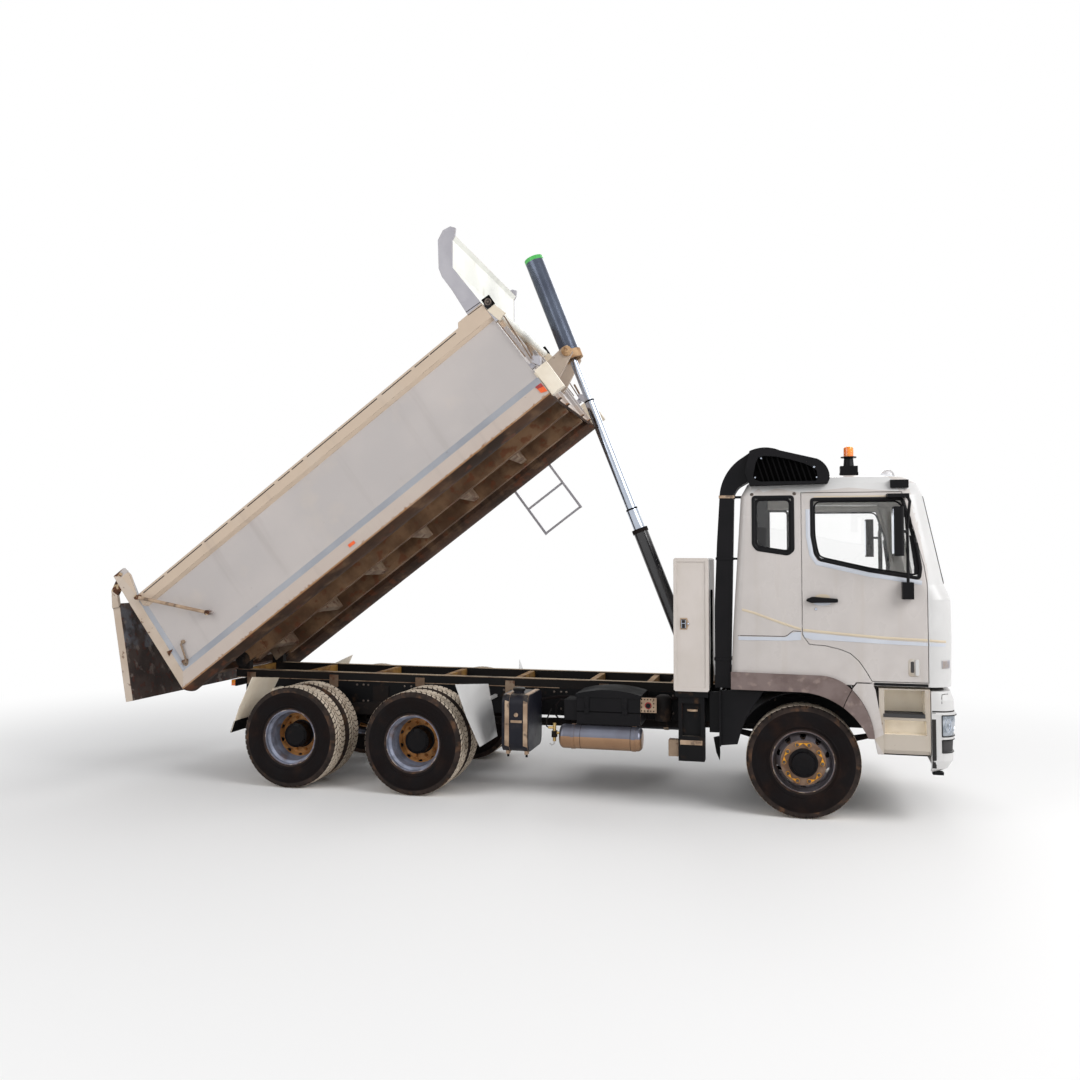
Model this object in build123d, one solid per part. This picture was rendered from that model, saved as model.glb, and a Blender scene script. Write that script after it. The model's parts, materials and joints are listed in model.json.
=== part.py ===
"""Cab-over tipping truck with three axles, its tray raised by a telescopic front hoist.

Lengths are millimetres. While a piece is drawn, X runs forward from the front axle, Y to the left
and Z up from the ground. Tray pieces are drawn in the tray's own axes, level, with X forward from
the rear low corner and Z up, and are then turned about the tray's hinge. Each piece is moved as it
is written, so that the origin lies on the ground below the middle of the vehicle.
"""
from build123d import *
import math
import os

# Running gear
ORIGIN_X = -2890.0
WHEELBASE = 3734.0
BOGIE_SPREAD = 1327.0
TYRE_RADIUS = 510.0
TYRE_WIDTH = 282.0
RIM_WIDTH = 228.0
RIM_FLANGE_RADIUS = 298.0
RIM_WALL = 12.0
FRONT_WHEEL_Y = 1030.0
KINGPIN_Y = 880.0
KINGPIN_RADIUS = 24.0
DUAL_Y = 930.0
DUAL_SPACING = 330.0
RUN_FIT = 0.05
SPINDLE_RADIUS = 42.0
HAND_HOLES = 10
AXLE_Z = TYRE_RADIUS
MID_X = -WHEELBASE
REAR_X = -WHEELBASE - BOGIE_SPREAD
BOGIE_X = (MID_X + REAR_X) / 2
BOGIE_PAD_Z = 616.0

# Chassis
RAIL_OUT = 425.0
RAIL_FLANGE = 80.0
RAIL_PLATE = 9.0
RAIL_Z = 720.0
RAIL_HEIGHT = 280.0
RAIL_FRONT = 1040.0
RAIL_REAR = -6000.0
RAIL_TOP = RAIL_Z + RAIL_HEIGHT
COUPLING_PLATE = 14.0
LAMP_BAR_HALF = 660.0
LAMP_BAR_Z = 930.0
COUPLING_Y = 160.0
COUPLING_Z = 100.0
COUPLING_CENTRE_Z = 850.0
COUPLING_HOLE_RADIUS = 10.5
TOW_PIN_X = 1105.0
TOW_PIN_Y = -200.0
TOW_PIN_RADIUS = 18.0
TOW_JAW_Z = 750.0
TOW_JAW_HEIGHT = 110.0
SUBFRAME_HEIGHT = 90.0
SUBFRAME_TOP = RAIL_TOP + SUBFRAME_HEIGHT
SUBFRAME_FRONT = -780.0
SUBFRAME_REAR = -6140.0

# Tray, level in its own axes
TRAY_TILT = 37.07
TRAY_PIVOT_X = -6050.0
TRAY_PIVOT_Z = 1200.0
PIVOT_ALONG = 342.0
PIVOT_UP = 48.0
TRAY_LENGTH = 4950.0
TRAY_HALF = 1220.0
TRAY_FLOOR_UP = 200.0
TRAY_TOP_UP = 1130.0
COAMING_HEIGHT = 130.0
COAMING_WIDTH = 80.0
COAMING_STEP = 30.0
SIDE_PLATE = 14.0
SIDE_INSET = 45.0
FLOOR_PLATE = 16.0
SILL_FACE_UP = 150.0
SILL_SLOPE = 78.0
SILL_WIDTH = 350.0
SILL_BELLY = 48.0
POST_LENGTH = 110.0
POST_FLANK = 34.0
POST_BELOW_TOP = 50.0
EAR_PLATE = 36.0
EAR_ABOVE_TOP = 335.0
HEAD_RISE = 45.0
HEAD_RISE_LENGTH = 350.0
FRONT_WALL = 24.0
RUNNER_DROP = 40.0
RUNNER_WIDTH = 76.0
RUNNER_Y = 385.0
MEMBER_FIRST = 650.0
MEMBER_PITCH = 700.0
MEMBER_WIDTH = 70.0
GATE_PIN_ALONG = 95.0
GATE_PIN_ABOVE_TOP = 300.0
GATE_PIN_UP = TRAY_TOP_UP + GATE_PIN_ABOVE_TOP
GATE_PIN_RADIUS = 22.0
GATE_THICK = 85.0
GATE_GAP = 12.0
GATE_SIDE_GAP = 4.0
GATE_BOTTOM_UP = 75.0
GATE_SWING = 26.3
GUARD_Y = 1180.0
GUARD_PLATE = 32.0
ROLLER_RADIUS = 42.0

# Hoist
HOIST_X = -990.0
HOIST_Z = 1000.0
COLLAR_AHEAD = 340.0
COLLAR_ALONG = TRAY_LENGTH + COLLAR_AHEAD
COLLAR_UP = 525.0
BARREL_RADIUS = 78.0
BARREL_TOP = 1770.0
BARREL_BELOW = 250.0
STAGE_1_RADIUS = 62.0
STAGE_2_RADIUS = 54.0
ROD_RADIUS = 40.0
TUBE_WALL = 10.0
COVER_RADIUS = 104.0
COVER_LENGTH = 1190.0
TRUNNION_RADIUS = 30.0

# Cab
CAB_WALL = 60.0
CAB_FLOOR_Z = 1222.0
CAB_FLOOR_SHARE = 0.5
SEAM_GAP = 6.0
CAB_HINGE_X = 1200.0
CAB_HINGE_Z = 720.0
SEAM_RADIUS = 902.0
SEAM_Z = 1244.0
BUMPER_Z = 480.0
BUMPER_TOP = 1186.0
STEP_TOP = 1200.0
GLASS_INSET = 14.0
GLASS_THICK = 6.0
FLARE_OUT = 1236.0
FLARE_IN = 1209.0
FLARE_LIP_IN = 1150.0
CORNER_RADIUS = 210.0
FRONT_BOW = 45.0
BACK_RADIUS = 70.0
GRILLE_DEPTH = 50.0


def block(x0, x1, y0, y1, z0, z1):
    """Box between two corners."""
    return Pos((x0 + x1) / 2, (y0 + y1) / 2, (z0 + z1) / 2) * Box(x1 - x0, y1 - y0, z1 - z0)


def side_prism(edges, y0, y1):
    """Outline in X and Z, given as edges or as corner points, carried from y0 to y1."""
    if not isinstance(edges, list) or isinstance(edges[0], tuple):
        edges = [Polyline(*edges, close=True)]
    face = Plane.XZ * make_face(edges)
    return Pos(0, y1, 0) * extrude(face, y1 - y0)


def plan_prism(points, z0, z1):
    """Outline in X and Y carried from z0 to z1."""
    return Pos(0, 0, z0) * extrude(make_face(Polyline(*points, close=True)), z1 - z0)


def front_prism(edges, x0, x1):
    """Outline in Y and Z, given as edges or as corner points, carried from x0 to x1."""
    if isinstance(edges[0], tuple):
        edges = [Polyline(*edges, close=True)]
    face = Plane.YZ * make_face(edges)
    return Pos(x0, 0, 0) * extrude(face, x1 - x0)


def cross_tube(x, z, y0, y1, radius, bore=0.0):
    """Round bar or tube that lies across the vehicle."""
    tube = Pos(x, (y0 + y1) / 2, z) * Rot(90, 0, 0) * Cylinder(radius, y1 - y0)
    if bore:
        tube -= Pos(x, (y0 + y1) / 2, z) * Rot(90, 0, 0) * Cylinder(bore, y1 - y0 + 2)
    return tube


def bar(start, end, radius):
    """Round bar between two points."""
    way = Vector(*end) - Vector(*start)
    return extrude(Plane(origin=start, z_dir=way) * Circle(radius), way.length)


def both(shape):
    """A piece and its mirror image on the other side of the vehicle."""
    return [shape, mirror(shape, about=Plane.XZ)]


def fuse(shapes):
    """One solid out of pieces that touch."""
    whole = shapes[0]
    for extra in shapes[1:]:
        whole = whole + extra
    return whole.clean()


def turned(profile):
    """Section of radius and Y turned round the wheel's axis."""
    return revolve(make_face(Polyline(*profile, close=True)), Axis.Y)


def save(name, shapes):
    """Write one node, moved to the part's own origin."""
    if not isinstance(shapes, list):
        shapes = [shapes]
    solids = []
    for shape in shapes:
        solids += list((Pos(-ORIGIN_X, 0, 0) * shape).solids())
    os.makedirs("parts", exist_ok=True)
    whole = solids[0] if len(solids) == 1 else Compound(children=solids)
    export_step(whole, f"parts/{name}.step")
    print(name, len(solids))


# Wheels: a tyre, and a rim with its hub and drum


def tyre(y):
    """Tyre section: bead, sidewall, shoulder and tread."""
    half = TYRE_WIDTH / 2
    bead = RIM_FLANGE_RADIUS - 16
    section = [
        (bead, -half + 30),
        (bead + 60, -half + 6),
        (bead + 130, -half),
        (TYRE_RADIUS - 26, -half + 8),
        (TYRE_RADIUS, -half + 34),
        (TYRE_RADIUS, half - 34),
        (TYRE_RADIUS - 26, half - 8),
        (bead + 130, half),
        (bead + 60, half - 6),
        (bead, half - 30),
    ]
    return Pos(0, y, 0) * turned(section)


def rim(y, face_y, hub_radius):
    """Rim barrel with two flanges and a dished disc, seen along plus Y from outside."""
    half = RIM_WIDTH / 2 - 4
    seat = RIM_FLANGE_RADIUS - 18
    well = seat - 22
    section = [
        (well - RIM_WALL, y - half + 60),
        (well - RIM_WALL, y + half - 60),
        (seat - RIM_WALL, y + half - 40),
        (seat - RIM_WALL, y + half),
        (seat, y + half),
        (seat, y + half - 36),
        (well, y + half - 62),
        (well, y - half + 62),
        (seat, y - half + 36),
        (seat, y - half),
        (seat - RIM_WALL, y - half),
        (seat - RIM_WALL, y - half + 40),
    ]
    barrel = turned(section)
    root_y = y + (half - 70) * (1 if face_y > y else -1)
    disc = turned([
        (hub_radius - 20, face_y),
        (hub_radius + 60, face_y),
        (well - RIM_WALL + 2, root_y),
        (well - RIM_WALL + 2, root_y - 16),
        (hub_radius + 56, face_y - 16),
        (hub_radius - 20, face_y - 16),
    ])
    hole_radius = (hub_radius + 60 + well) / 2
    for index in range(HAND_HOLES):
        angle = math.radians(360 * index / HAND_HOLES + 18)
        centre = (hole_radius * math.cos(angle), face_y - 40, hole_radius * math.sin(angle))
        disc -= Pos(*centre) * Rot(90, 0, 0) * Cylinder(27, 160)
    return barrel + disc


def hub(stations):
    """Hub and drum from a table of radius and Y, with a bore for the spindle."""
    return turned(stations)


def front_wheel():
    """Front rim and hub on the left side, centred on the axle."""
    face = 1190.0
    body = rim(FRONT_WHEEL_Y, face, 140)
    bore = SPINDLE_RADIUS + RUN_FIT
    body += hub([
        (bore, 1000), (205, 1000), (205, 1050), (120, 1060), (118, 1172), (130, 1176), (130, 1204),
        (104, 1208), (98, 1238), (60, 1246), (0, 1246), (0, 1215), (bore, 1215),
    ])
    body += turned([(190, 912), (205, 912), (205, 1010), (190, 1010)])
    return body


def dual_wheel():
    """Two rear rims bolted to one hub on the left side."""
    face = DUAL_Y + 16
    inner = DUAL_Y - DUAL_SPACING / 2
    outer = DUAL_Y + DUAL_SPACING / 2
    bore = SPINDLE_RADIUS + RUN_FIT
    body = rim(inner, face - 16, 140)
    body += rim(outer, face, 140)
    body += hub([
        (bore, 800), (205, 800), (205, 860), (140, 870), (140, 962), (128, 966), (124, 1080),
        (96, 1096), (0, 1096), (0, 1066), (bore, 1066),
    ])
    body += turned([(190, 700), (205, 700), (205, 810), (190, 810)])
    return body


AXLES = [("front", 0.0), ("mid", MID_X), ("rear", REAR_X)]


def write_wheels():
    """Tyre and rim nodes for every wheel, left side drawn and right side mirrored."""
    front = front_wheel()
    dual = dual_wheel()
    half = DUAL_SPACING / 2
    for axle, x in AXLES:
        wheel = front if axle == "front" else dual
        rubber = [tyre(FRONT_WHEEL_Y)] if axle == "front" else [tyre(DUAL_Y - half), tyre(DUAL_Y + half)]
        for side in ("left", "right"):
            place = Pos(x, 0, AXLE_Z)
            tyres = [place * piece for piece in rubber]
            body = place * wheel
            if side == "right":
                tyres = [mirror(piece, about=Plane.XZ) for piece in tyres]
                body = mirror(body, about=Plane.XZ)
            save(f"tyre_{axle}_{side}", tyres)
            save(f"wheel_{axle}_{side}", body)


# Axles, springs and driveline


def knuckle():
    """Left steering knuckle: fork, king pin, spindle and steering arm."""
    top = AXLE_Z + 92
    fork = block(-45, 45, KINGPIN_Y - 44, 960, top, top + 38)
    fork += block(-45, 45, KINGPIN_Y - 44, 960, AXLE_Z - 130, AXLE_Z - 92)
    fork += block(-45, 45, 945, 975, AXLE_Z - 130, top + 38)
    pin = Pos(0, KINGPIN_Y, AXLE_Z) * Cylinder(KINGPIN_RADIUS, 240)
    spindle = cross_tube(0, AXLE_Z, 970, 1200, SPINDLE_RADIUS)
    arm = block(-250, -30, KINGPIN_Y - 20, KINGPIN_Y + 20, AXLE_Z - 130, AXLE_Z - 100)
    return fuse([fork, pin, spindle, arm])


def front_axle():
    """Forged beam that drops between the wheels, with king pin eyes."""
    drop = 110
    outline = [
        (-KINGPIN_Y, AXLE_Z + 60), (-700, AXLE_Z + 40), (-600, AXLE_Z - drop + 110),
        (600, AXLE_Z - drop + 110), (700, AXLE_Z + 40), (KINGPIN_Y, AXLE_Z + 60),
        (KINGPIN_Y, AXLE_Z - 60), (700, AXLE_Z - 70), (600, AXLE_Z - drop - 20),
        (-600, AXLE_Z - drop - 20), (-700, AXLE_Z - 70), (-KINGPIN_Y, AXLE_Z - 60),
    ]
    beam = front_prism(outline, -45, 45)
    beam -= front_prism([(-560, 430), (560, 430), (560, 480), (-560, 480)], 14, 60)
    beam -= front_prism([(-560, 430), (560, 430), (560, 480), (-560, 480)], -60, -14)
    for side in (-1, 1):
        beam += Pos(0, side * KINGPIN_Y, AXLE_Z) * Cylinder(56, 176)
    for side in (-1, 1):
        beam -= Pos(0, side * KINGPIN_Y, AXLE_Z) * Cylinder(KINGPIN_RADIUS + RUN_FIT, 400)
    return beam


def drive_axle(x, nose):
    """Driven axle: tubes, round diff housing, pinion nose and spindles."""
    tube = cross_tube(x, AXLE_Z, -690, 690, 68)
    spindle = cross_tube(x, AXLE_Z, -1050, 1050, SPINDLE_RADIUS)
    bowl = cross_tube(x, AXLE_Z, -150, 150, 210)
    bowl = chamfer(bowl.edges().filter_by(GeomType.CIRCLE), 60)
    pinion = bar((x, 0, AXLE_Z + 30), (x + nose, 0, AXLE_Z + 60), 85)
    pads = [block(x - 70, x + 70, y - 45, y + 45, AXLE_Z, BOGIE_PAD_Z) for y in (-480, 480)]
    return fuse([tube, spindle, bowl, pinion] + pads)


def leaf_pack(x, z_mid, z_end, reach, y, thickness, width):
    """Bowed pack of leaves: a lens between two arcs."""
    fore, aft, tip = x + reach, x - reach, z_end - 26
    edges = [
        ThreePointArc((aft, z_end), (x, z_mid), (fore, z_end)),
        Line((fore, z_end), (fore, tip)),
        ThreePointArc((fore, tip), (x, z_mid - thickness), (aft, tip)),
        Line((aft, tip), (aft, z_end)),
    ]
    return side_prism(edges, y - width / 2, y + width / 2)


def springs():
    """Leaf springs and their hangers, both sides, front and bogie."""
    front = leaf_pack(0, 600, 690, 740, 400, 66, 78)
    front += block(-60, 60, 361, 439, AXLE_Z, 560)
    for x in (-720, 690):
        front += block(x, x + 40, 361, 439, 664, RAIL_Z)
    pack_top = 790.0
    bogie = leaf_pack(BOGIE_X, pack_top, 650, BOGIE_SPREAD / 2 + 60, 480, 130, 78)
    bogie += block(BOGIE_X - 90, BOGIE_X + 90, RAIL_OUT, 441, 560, 960)
    bogie += cross_tube(BOGIE_X, 640, RAIL_OUT, 530, 70)
    for x in (MID_X, REAR_X):
        bogie += block(x - 70, x + 70, 441, 519, BOGIE_PAD_Z, 660)
    return both(front) + both(bogie)


def propshafts():
    """Shafts from the gearbox through the centre bearing and between the driven axles."""
    nose = 330
    first = bar((-705, 0, 640), (-2200, 0, 590), 42)
    first += bar((-2200, 0, 590), (MID_X + nose + 8, 0, AXLE_Z + 60), 42)
    first += Pos(-2200, 0, 590) * Sphere(70)
    second = bar((MID_X - 218, 0, AXLE_Z + 20), (REAR_X + nose + 8, 0, AXLE_Z + 60), 40)
    return [first, second]


# Chassis


CROSS_MEMBERS = [900.0, -760.0, -1700.0, -2600.0, -3300.0, -4400.0, -5500.0, -5950.0]


def chassis_rails():
    """Two channel rails and the cross-members between them."""
    web = block(RAIL_REAR, RAIL_FRONT, RAIL_OUT - RAIL_PLATE, RAIL_OUT, RAIL_Z, RAIL_TOP)
    inner = RAIL_OUT - RAIL_FLANGE
    low = block(RAIL_REAR, RAIL_FRONT, inner, RAIL_OUT, RAIL_Z, RAIL_Z + RAIL_PLATE)
    high = block(RAIL_REAR, RAIL_FRONT, inner, RAIL_OUT, RAIL_TOP - RAIL_PLATE, RAIL_TOP)
    rail = fuse([web, low, high])
    frame = rail + mirror(rail, about=Plane.XZ)
    span = RAIL_OUT - RAIL_PLATE
    for x in CROSS_MEMBERS:
        frame += block(x - 5, x + 5, -span, span, RAIL_Z + 60, RAIL_TOP - 40)
    end = block(RAIL_REAR - COUPLING_PLATE, RAIL_REAR, -RAIL_OUT, RAIL_OUT, RAIL_Z, RAIL_TOP)
    end += block(RAIL_REAR - COUPLING_PLATE, RAIL_REAR, -LAMP_BAR_HALF, LAMP_BAR_HALF, LAMP_BAR_Z, RAIL_TOP)
    for y in (-COUPLING_Y / 2, COUPLING_Y / 2):
        for z in (COUPLING_CENTRE_Z - COUPLING_Z / 2, COUPLING_CENTRE_Z + COUPLING_Z / 2):
            end -= Pos(RAIL_REAR, y, z) * Rot(0, 90, 0) * Cylinder(COUPLING_HOLE_RADIUS, 80)
    front = block(RAIL_FRONT, RAIL_FRONT + 14, -RAIL_OUT, RAIL_OUT, RAIL_Z, RAIL_TOP)
    for z in (TOW_JAW_Z, TOW_JAW_Z + TOW_JAW_HEIGHT - 22):
        front += block(RAIL_FRONT + 13, TOW_PIN_X + 45, TOW_PIN_Y - 50, TOW_PIN_Y + 50, z, z + 22)
    front -= Pos(TOW_PIN_X, TOW_PIN_Y, TOW_JAW_Z) * Cylinder(TOW_PIN_RADIUS, 400)
    return fuse([frame, end, front])


def subframe():
    """Tipper subframe: two boxes on the rails, cross ties, tray hinge bosses and hoist cradle."""
    inner = RAIL_OUT - RAIL_FLANGE
    rail = block(SUBFRAME_REAR, SUBFRAME_FRONT, inner, RAIL_OUT, RAIL_TOP, SUBFRAME_TOP)
    y0, y1 = inner + 2, RAIL_OUT - 2
    cheek = block(TRAY_PIVOT_X - 70, TRAY_PIVOT_X + 70, y0, y1, SUBFRAME_TOP - 2, TRAY_PIVOT_Z)
    boss = cross_tube(TRAY_PIVOT_X, TRAY_PIVOT_Z, y0, y1, 70)
    side = fuse([rail, cheek, boss]) - cross_tube(TRAY_PIVOT_X, TRAY_PIVOT_Z, 300, 460, 30 + RUN_FIT)
    frame = side + mirror(side, about=Plane.XZ)
    for x in (-6100.0, -5300.0, -4500.0, -3700.0, -2900.0, -2100.0, -1500.0):
        frame += block(x - 30, x + 30, -inner, inner, RAIL_TOP + 8, SUBFRAME_TOP - 8)
    for x in (-1250.0, -810.0):
        frame += block(x - 30, x + 30, -inner, inner, RAIL_TOP - 100, SUBFRAME_TOP)
    plate = block(-1250, -810, 100, 140, 900, 1060)
    plate -= cross_tube(HOIST_X, HOIST_Z, 80, 160, TRUNNION_RADIUS + RUN_FIT)
    return fuse([frame] + both(plate))


def engine():
    """Engine and gearbox as one plain block between the rails."""
    return block(-700, 460, -330, 330, 650, 1180)


# Body furniture on the chassis


def tanks():
    """Strapped oil tank on the right and the fuel tank on the left."""
    oil = block(-2826, -2560, -1180, -620, 470, 1015)
    oil = fillet(oil.edges().filter_by(Axis.X), 90)
    for x in (-2796, -2612):
        strap = block(x, x + 42, -1186, -614, 464, 1021)
        strap = fillet(strap.edges().filter_by(Axis.X), 95)
        oil += strap
        oil += block(x + 6, x + 36, -1150, -1090, 446, 480)
    oil += block(-2740, -2640, -640, -RAIL_OUT, 780, 960)
    oil += Pos(-2700, -1000, 1025) * Cylinder(52, 36)
    fuel = block(-2300, -1250, 500, 1130, 450, 1010)
    fuel = fillet(fuel.edges().filter_by(Axis.X), 110)
    for x in (-2150, -1450):
        strap = block(x, x + 50, 494, 1136, 444, 1016)
        strap = fillet(strap.edges().filter_by(Axis.X), 116)
        fuel += strap
        fuel += block(x, x + 50, RAIL_OUT, 520, 700, 980)
    return [oil, fuel]


def battery_box():
    """Battery box with a domed lid, the small valve box beside it and the isolator's panel."""
    box = block(-2120, -1500, -1010, -560, 740, 1000)
    lid = side_prism([
        Line((-2130, 1000), (-1490, 1000)),
        Line((-1490, 1000), (-1490, 1030)),
        ThreePointArc((-1490, 1030), (-1810, 1075), (-2130, 1030)),
        Line((-2130, 1030), (-2130, 1000)),
    ], -1020, -550)
    arm = block(-1900, -1700, -560, -RAIL_OUT, 780, 960)
    valve = block(-2250, -2119, -980, -700, 770, 965)
    panel = block(-1502, -1345, -1000, -988, 872, 1012)
    knob = cross_tube(-1424, 940, -1016, -999, 24)
    return fuse([box, lid, arm, valve, panel, knob])


def air_tanks():
    """Round air tank under the battery box, domed at its ends, on two hangers."""
    radius = 115.0
    z = 616.0
    start, end = -2285.0, -1480.0
    body = Pos((start + end) / 2, -985, z) * Rot(0, 90, 0) * Cylinder(radius, end - start)
    body = fillet(body.edges().filter_by(GeomType.CIRCLE), 45)
    for x in (-2150.0, -1560.0):
        body += Pos(x, -985, z) * Rot(0, 90, 0) * Cylinder(radius + 5, 34)
        body += block(x - 17, x + 17, -1000, -970, z + 110, 739)
    return body


def locker():
    """White tool locker behind the cab, closed, with a raised door frame."""
    body = block(-1160, -836, -1206, -340, 1114, 2350)
    body = chamfer(body.edges().filter_by(Axis.Y), 14)
    return body - block(-1130, -866, -1215, -1200, 1150, 2315)


def locker_bracket():
    """Black bracket and drop leg that carry the locker from the rail."""
    shelf = block(-1150, -846, -1190, -RAIL_OUT, 1060, 1113)
    leg = block(-1120, -880, -1180, -1040, 470, 1061)
    leg -= block(-1085, -915, -1200, -1150, 700, 1000)
    gusset = block(-1060, -940, -1041, -RAIL_OUT, 900, 960)
    return fuse([shelf, leg, gusset])


# columns: reach from the axle and height at the outer edge, then at the inner edge
FORE_GUARD = [
    (446.0, 1108.0, 600.0, 1045.0),
    (561.0, 806.0, 652.0, 800.0),
    (702.0, 516.0, 702.0, 516.0),
]
AFT_GUARD = [
    (417.0, 1110.0, 440.0, 1035.0),
    (555.0, 806.0, 560.0, 800.0),
    (650.0, 540.0, 650.0, 540.0),
]
GUARD_OUT_Y = 1235.0
GUARD_IN_Y = 630.0
GUARD_SHEET = 6.0
STAY_Z = 900.0


def bogie_guard(wheel_x, way, table):
    """Left sloped guard beside a bogie wheel, ahead of it (way 1) or behind it (way -1), with its stay."""
    faces = []
    for y, column in ((GUARD_IN_Y, 2), (GUARD_OUT_Y, 0)):
        line = [(wheel_x + way * row[column], row[column + 1]) for row in table]
        back = [(x + way * GUARD_SHEET, z) for x, z in reversed(line)]
        faces.append(Pos(0, y, 0) * (Plane.XZ * make_face(Polyline(*line, *back, close=True))))
    sheet = loft(faces, ruled=True)
    top, knee = table[0], table[1]
    reach = top[2] + (knee[2] - top[2]) * (top[3] - STAY_Z) / (top[3] - knee[3])
    x = wheel_x + way * reach
    stay = block(x - 15, x + 15, RAIL_OUT, GUARD_IN_Y + 30, STAY_Z - 15, STAY_Z + 15)
    return fuse([sheet, stay])


LINER_RADIUS = 618.0
LINER_IN_Y = 640.0
LINER_OUT_Y = 1140.0


def front_guard():
    """Liner over the left front wheel, with its rear side plate, flap, skirt and stays."""
    ring = cross_tube(0, AXLE_Z, LINER_IN_Y, LINER_OUT_Y, LINER_RADIUS + GUARD_SHEET, LINER_RADIUS)
    fan = [(0, AXLE_Z), (822, 876), (822, 1400), (-900, 1400), (-900, 838)]
    liner = ring & side_prism(fan, LINER_IN_Y - 10, LINER_OUT_Y + 10)
    plate = side_prism([
        (-745, 1130), (-345, 1130), (-425, 1010), (-500, 890), (-548, 760), (-582, 640), (-745, 622),
    ], LINER_OUT_Y - 12, LINER_OUT_Y + 6)
    flap = block(-745, -730, 700, LINER_OUT_Y + 50, 620, 1120)
    skirt = block(-838, -740, 1100, 1120, 735, 1108)
    beam = block(-745, -716, RAIL_OUT, LINER_OUT_Y, 860, 900)
    stays = [block(x, x + 40, RAIL_OUT, LINER_IN_Y + 20, 900, 940) for x in (-475, 435)]
    return fuse([liner, plate, flap, skirt, beam] + stays)


def mudguards():
    """Guards over and behind the front wheels and sloped guards fore and aft of the bogie."""
    front = front_guard()
    fore = bogie_guard(MID_X, 1, FORE_GUARD)
    aft = bogie_guard(REAR_X, -1, AFT_GUARD)
    return both(front) + both(fore) + both(aft)


# Bumper, lamps and steps


# columns: height, front at the middle, half width
BUMPER_SECTIONS = [
    (BUMPER_Z, 1206.0, 1172.0),
    (512.0, 1271.0, 1190.0),
    (583.0, 1313.0, 1200.0),
    (758.0, 1324.0, 1200.0),
    (992.0, 1345.0, 1200.0),
    (1002.0, 1331.0, 1192.0),
    (1108.0, 1328.0, 1190.0),
    (BUMPER_TOP, 1302.0, 1180.0),
]
BUMPER_BACK = 900.0
BUMPER_END = 1091.0
BUMPER_BOW = 30.0
BUMPER_CORNER = 150.0


def bumper_plan(z, front, half):
    """Plan outline of the bumper at one height: bowed front and rounded corners."""
    corner = BUMPER_CORNER
    cut = corner * (1 - math.sqrt(0.5))
    nose = front - BUMPER_BOW
    edges = [
        Line((BUMPER_BACK, -half), (nose - corner, -half)),
        ThreePointArc((nose - corner, -half), (nose - cut, -half + cut), (nose, -half + corner)),
        ThreePointArc((nose, -half + corner), (front, 0), (nose, half - corner)),
        ThreePointArc((nose, half - corner), (nose - cut, half - cut), (nose - corner, half)),
        Line((nose - corner, half), (BUMPER_BACK, half)),
        Line((BUMPER_BACK, half), (BUMPER_BACK, -half)),
    ]
    return Pos(0, 0, z) * make_face(edges)


def bumper_shape(inset):
    """Solid block of the bumper, drawn in by an inset at its front and sides."""
    faces = [bumper_plan(z, front - inset, half - inset) for z, front, half in BUMPER_SECTIONS]
    return loft(faces, ruled=True)


LAMP_BOXES = [(900.0, 1210.0, 800.0, 975.0), (960.0, 1210.0, 660.0, 762.0)]


def bumper():
    """Hollow bumper open to the rear, with openings for lamps and cooling air."""
    shell = bumper_shape(0) - bumper_shape(46) - block(BUMPER_BACK - 1, BUMPER_END, -1300, 1300, 400, 1300)
    for y0, y1, z0, z1 in LAMP_BOXES:
        for side in (-1, 1):
            low, high = sorted((side * y0, side * y1))
            shell -= block(1180, 1400, low, high, z0, z1)
    shell -= block(1200, 1400, -560, 560, 700, 900)
    arms = both(block(RAIL_FRONT + 14, 1310, 340, RAIL_OUT, 740, 980))
    return fuse([shell] + arms)


def lamps():
    """Headlamps and fog lamps set in the bumper, and the tail lamps."""
    skin = bumper_shape(6) - bumper_shape(60)
    out = []
    for y0, y1, z0, z1 in LAMP_BOXES:
        for side in (-1, 1):
            low, high = sorted((side * y0, side * y1))
            out.append(skin & block(1181, 1400, low + side * 1, high - 1, z0 + 1, z1 - 1))
    for side in (-1, 1):
        low, high = sorted((side * (RAIL_OUT + 15), side * LAMP_BAR_HALF))
        back = RAIL_REAR - COUPLING_PLATE - 1
        out.append(block(back - 46, back, low, high, LAMP_BAR_Z + 4, RAIL_TOP - 4))
    return out


def flare_band(outer_y, inner_y):
    """Left arch flare band before the cab seam is cut."""
    edges = [
        Line((-635, 1150), (0, 1146)),
        ThreePointArc((0, 1146), (330, 1034), (560, 757)),
        Line((560, 757), (612, 757)),
        ThreePointArc((612, 757), (530, 1040), (366, 1231)),
        ThreePointArc((366, 1231), (265, 1280), (130, 1298)),
        Line((130, 1298), (-635, 1308)),
        Line((-635, 1308), (-635, 1150)),
    ]
    return side_prism(edges, inner_y, outer_y)


def seam_volume(grow):
    """Space under the cab seam, swept clear when the cab tilts about its front hinge."""
    drum = cross_tube(CAB_HINGE_X, CAB_HINGE_Z, -1400, 1400, SEAM_RADIUS + grow)
    return drum & block(100, 2100, -1400, 1400, 0, SEAM_Z + grow)


def wing_tail(y0, y1):
    """Tail of the left front wing, between the flare and the step, before the cab seam is cut."""
    return side_prism([
        Line((300, 1262), (590, 1262)),
        Line((590, 1262), (625, 1187)),
        Line((625, 1187), (690, 795)),
        Line((690, 795), (690, 622)),
        Line((690, 622), (640, 622)),
        Line((640, 622), (614, 756)),
        ThreePointArc((614, 756), (532, 1041), (368, 1234)),
        Line((368, 1234), (300, 1262)),
    ], y0, y1)


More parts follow.
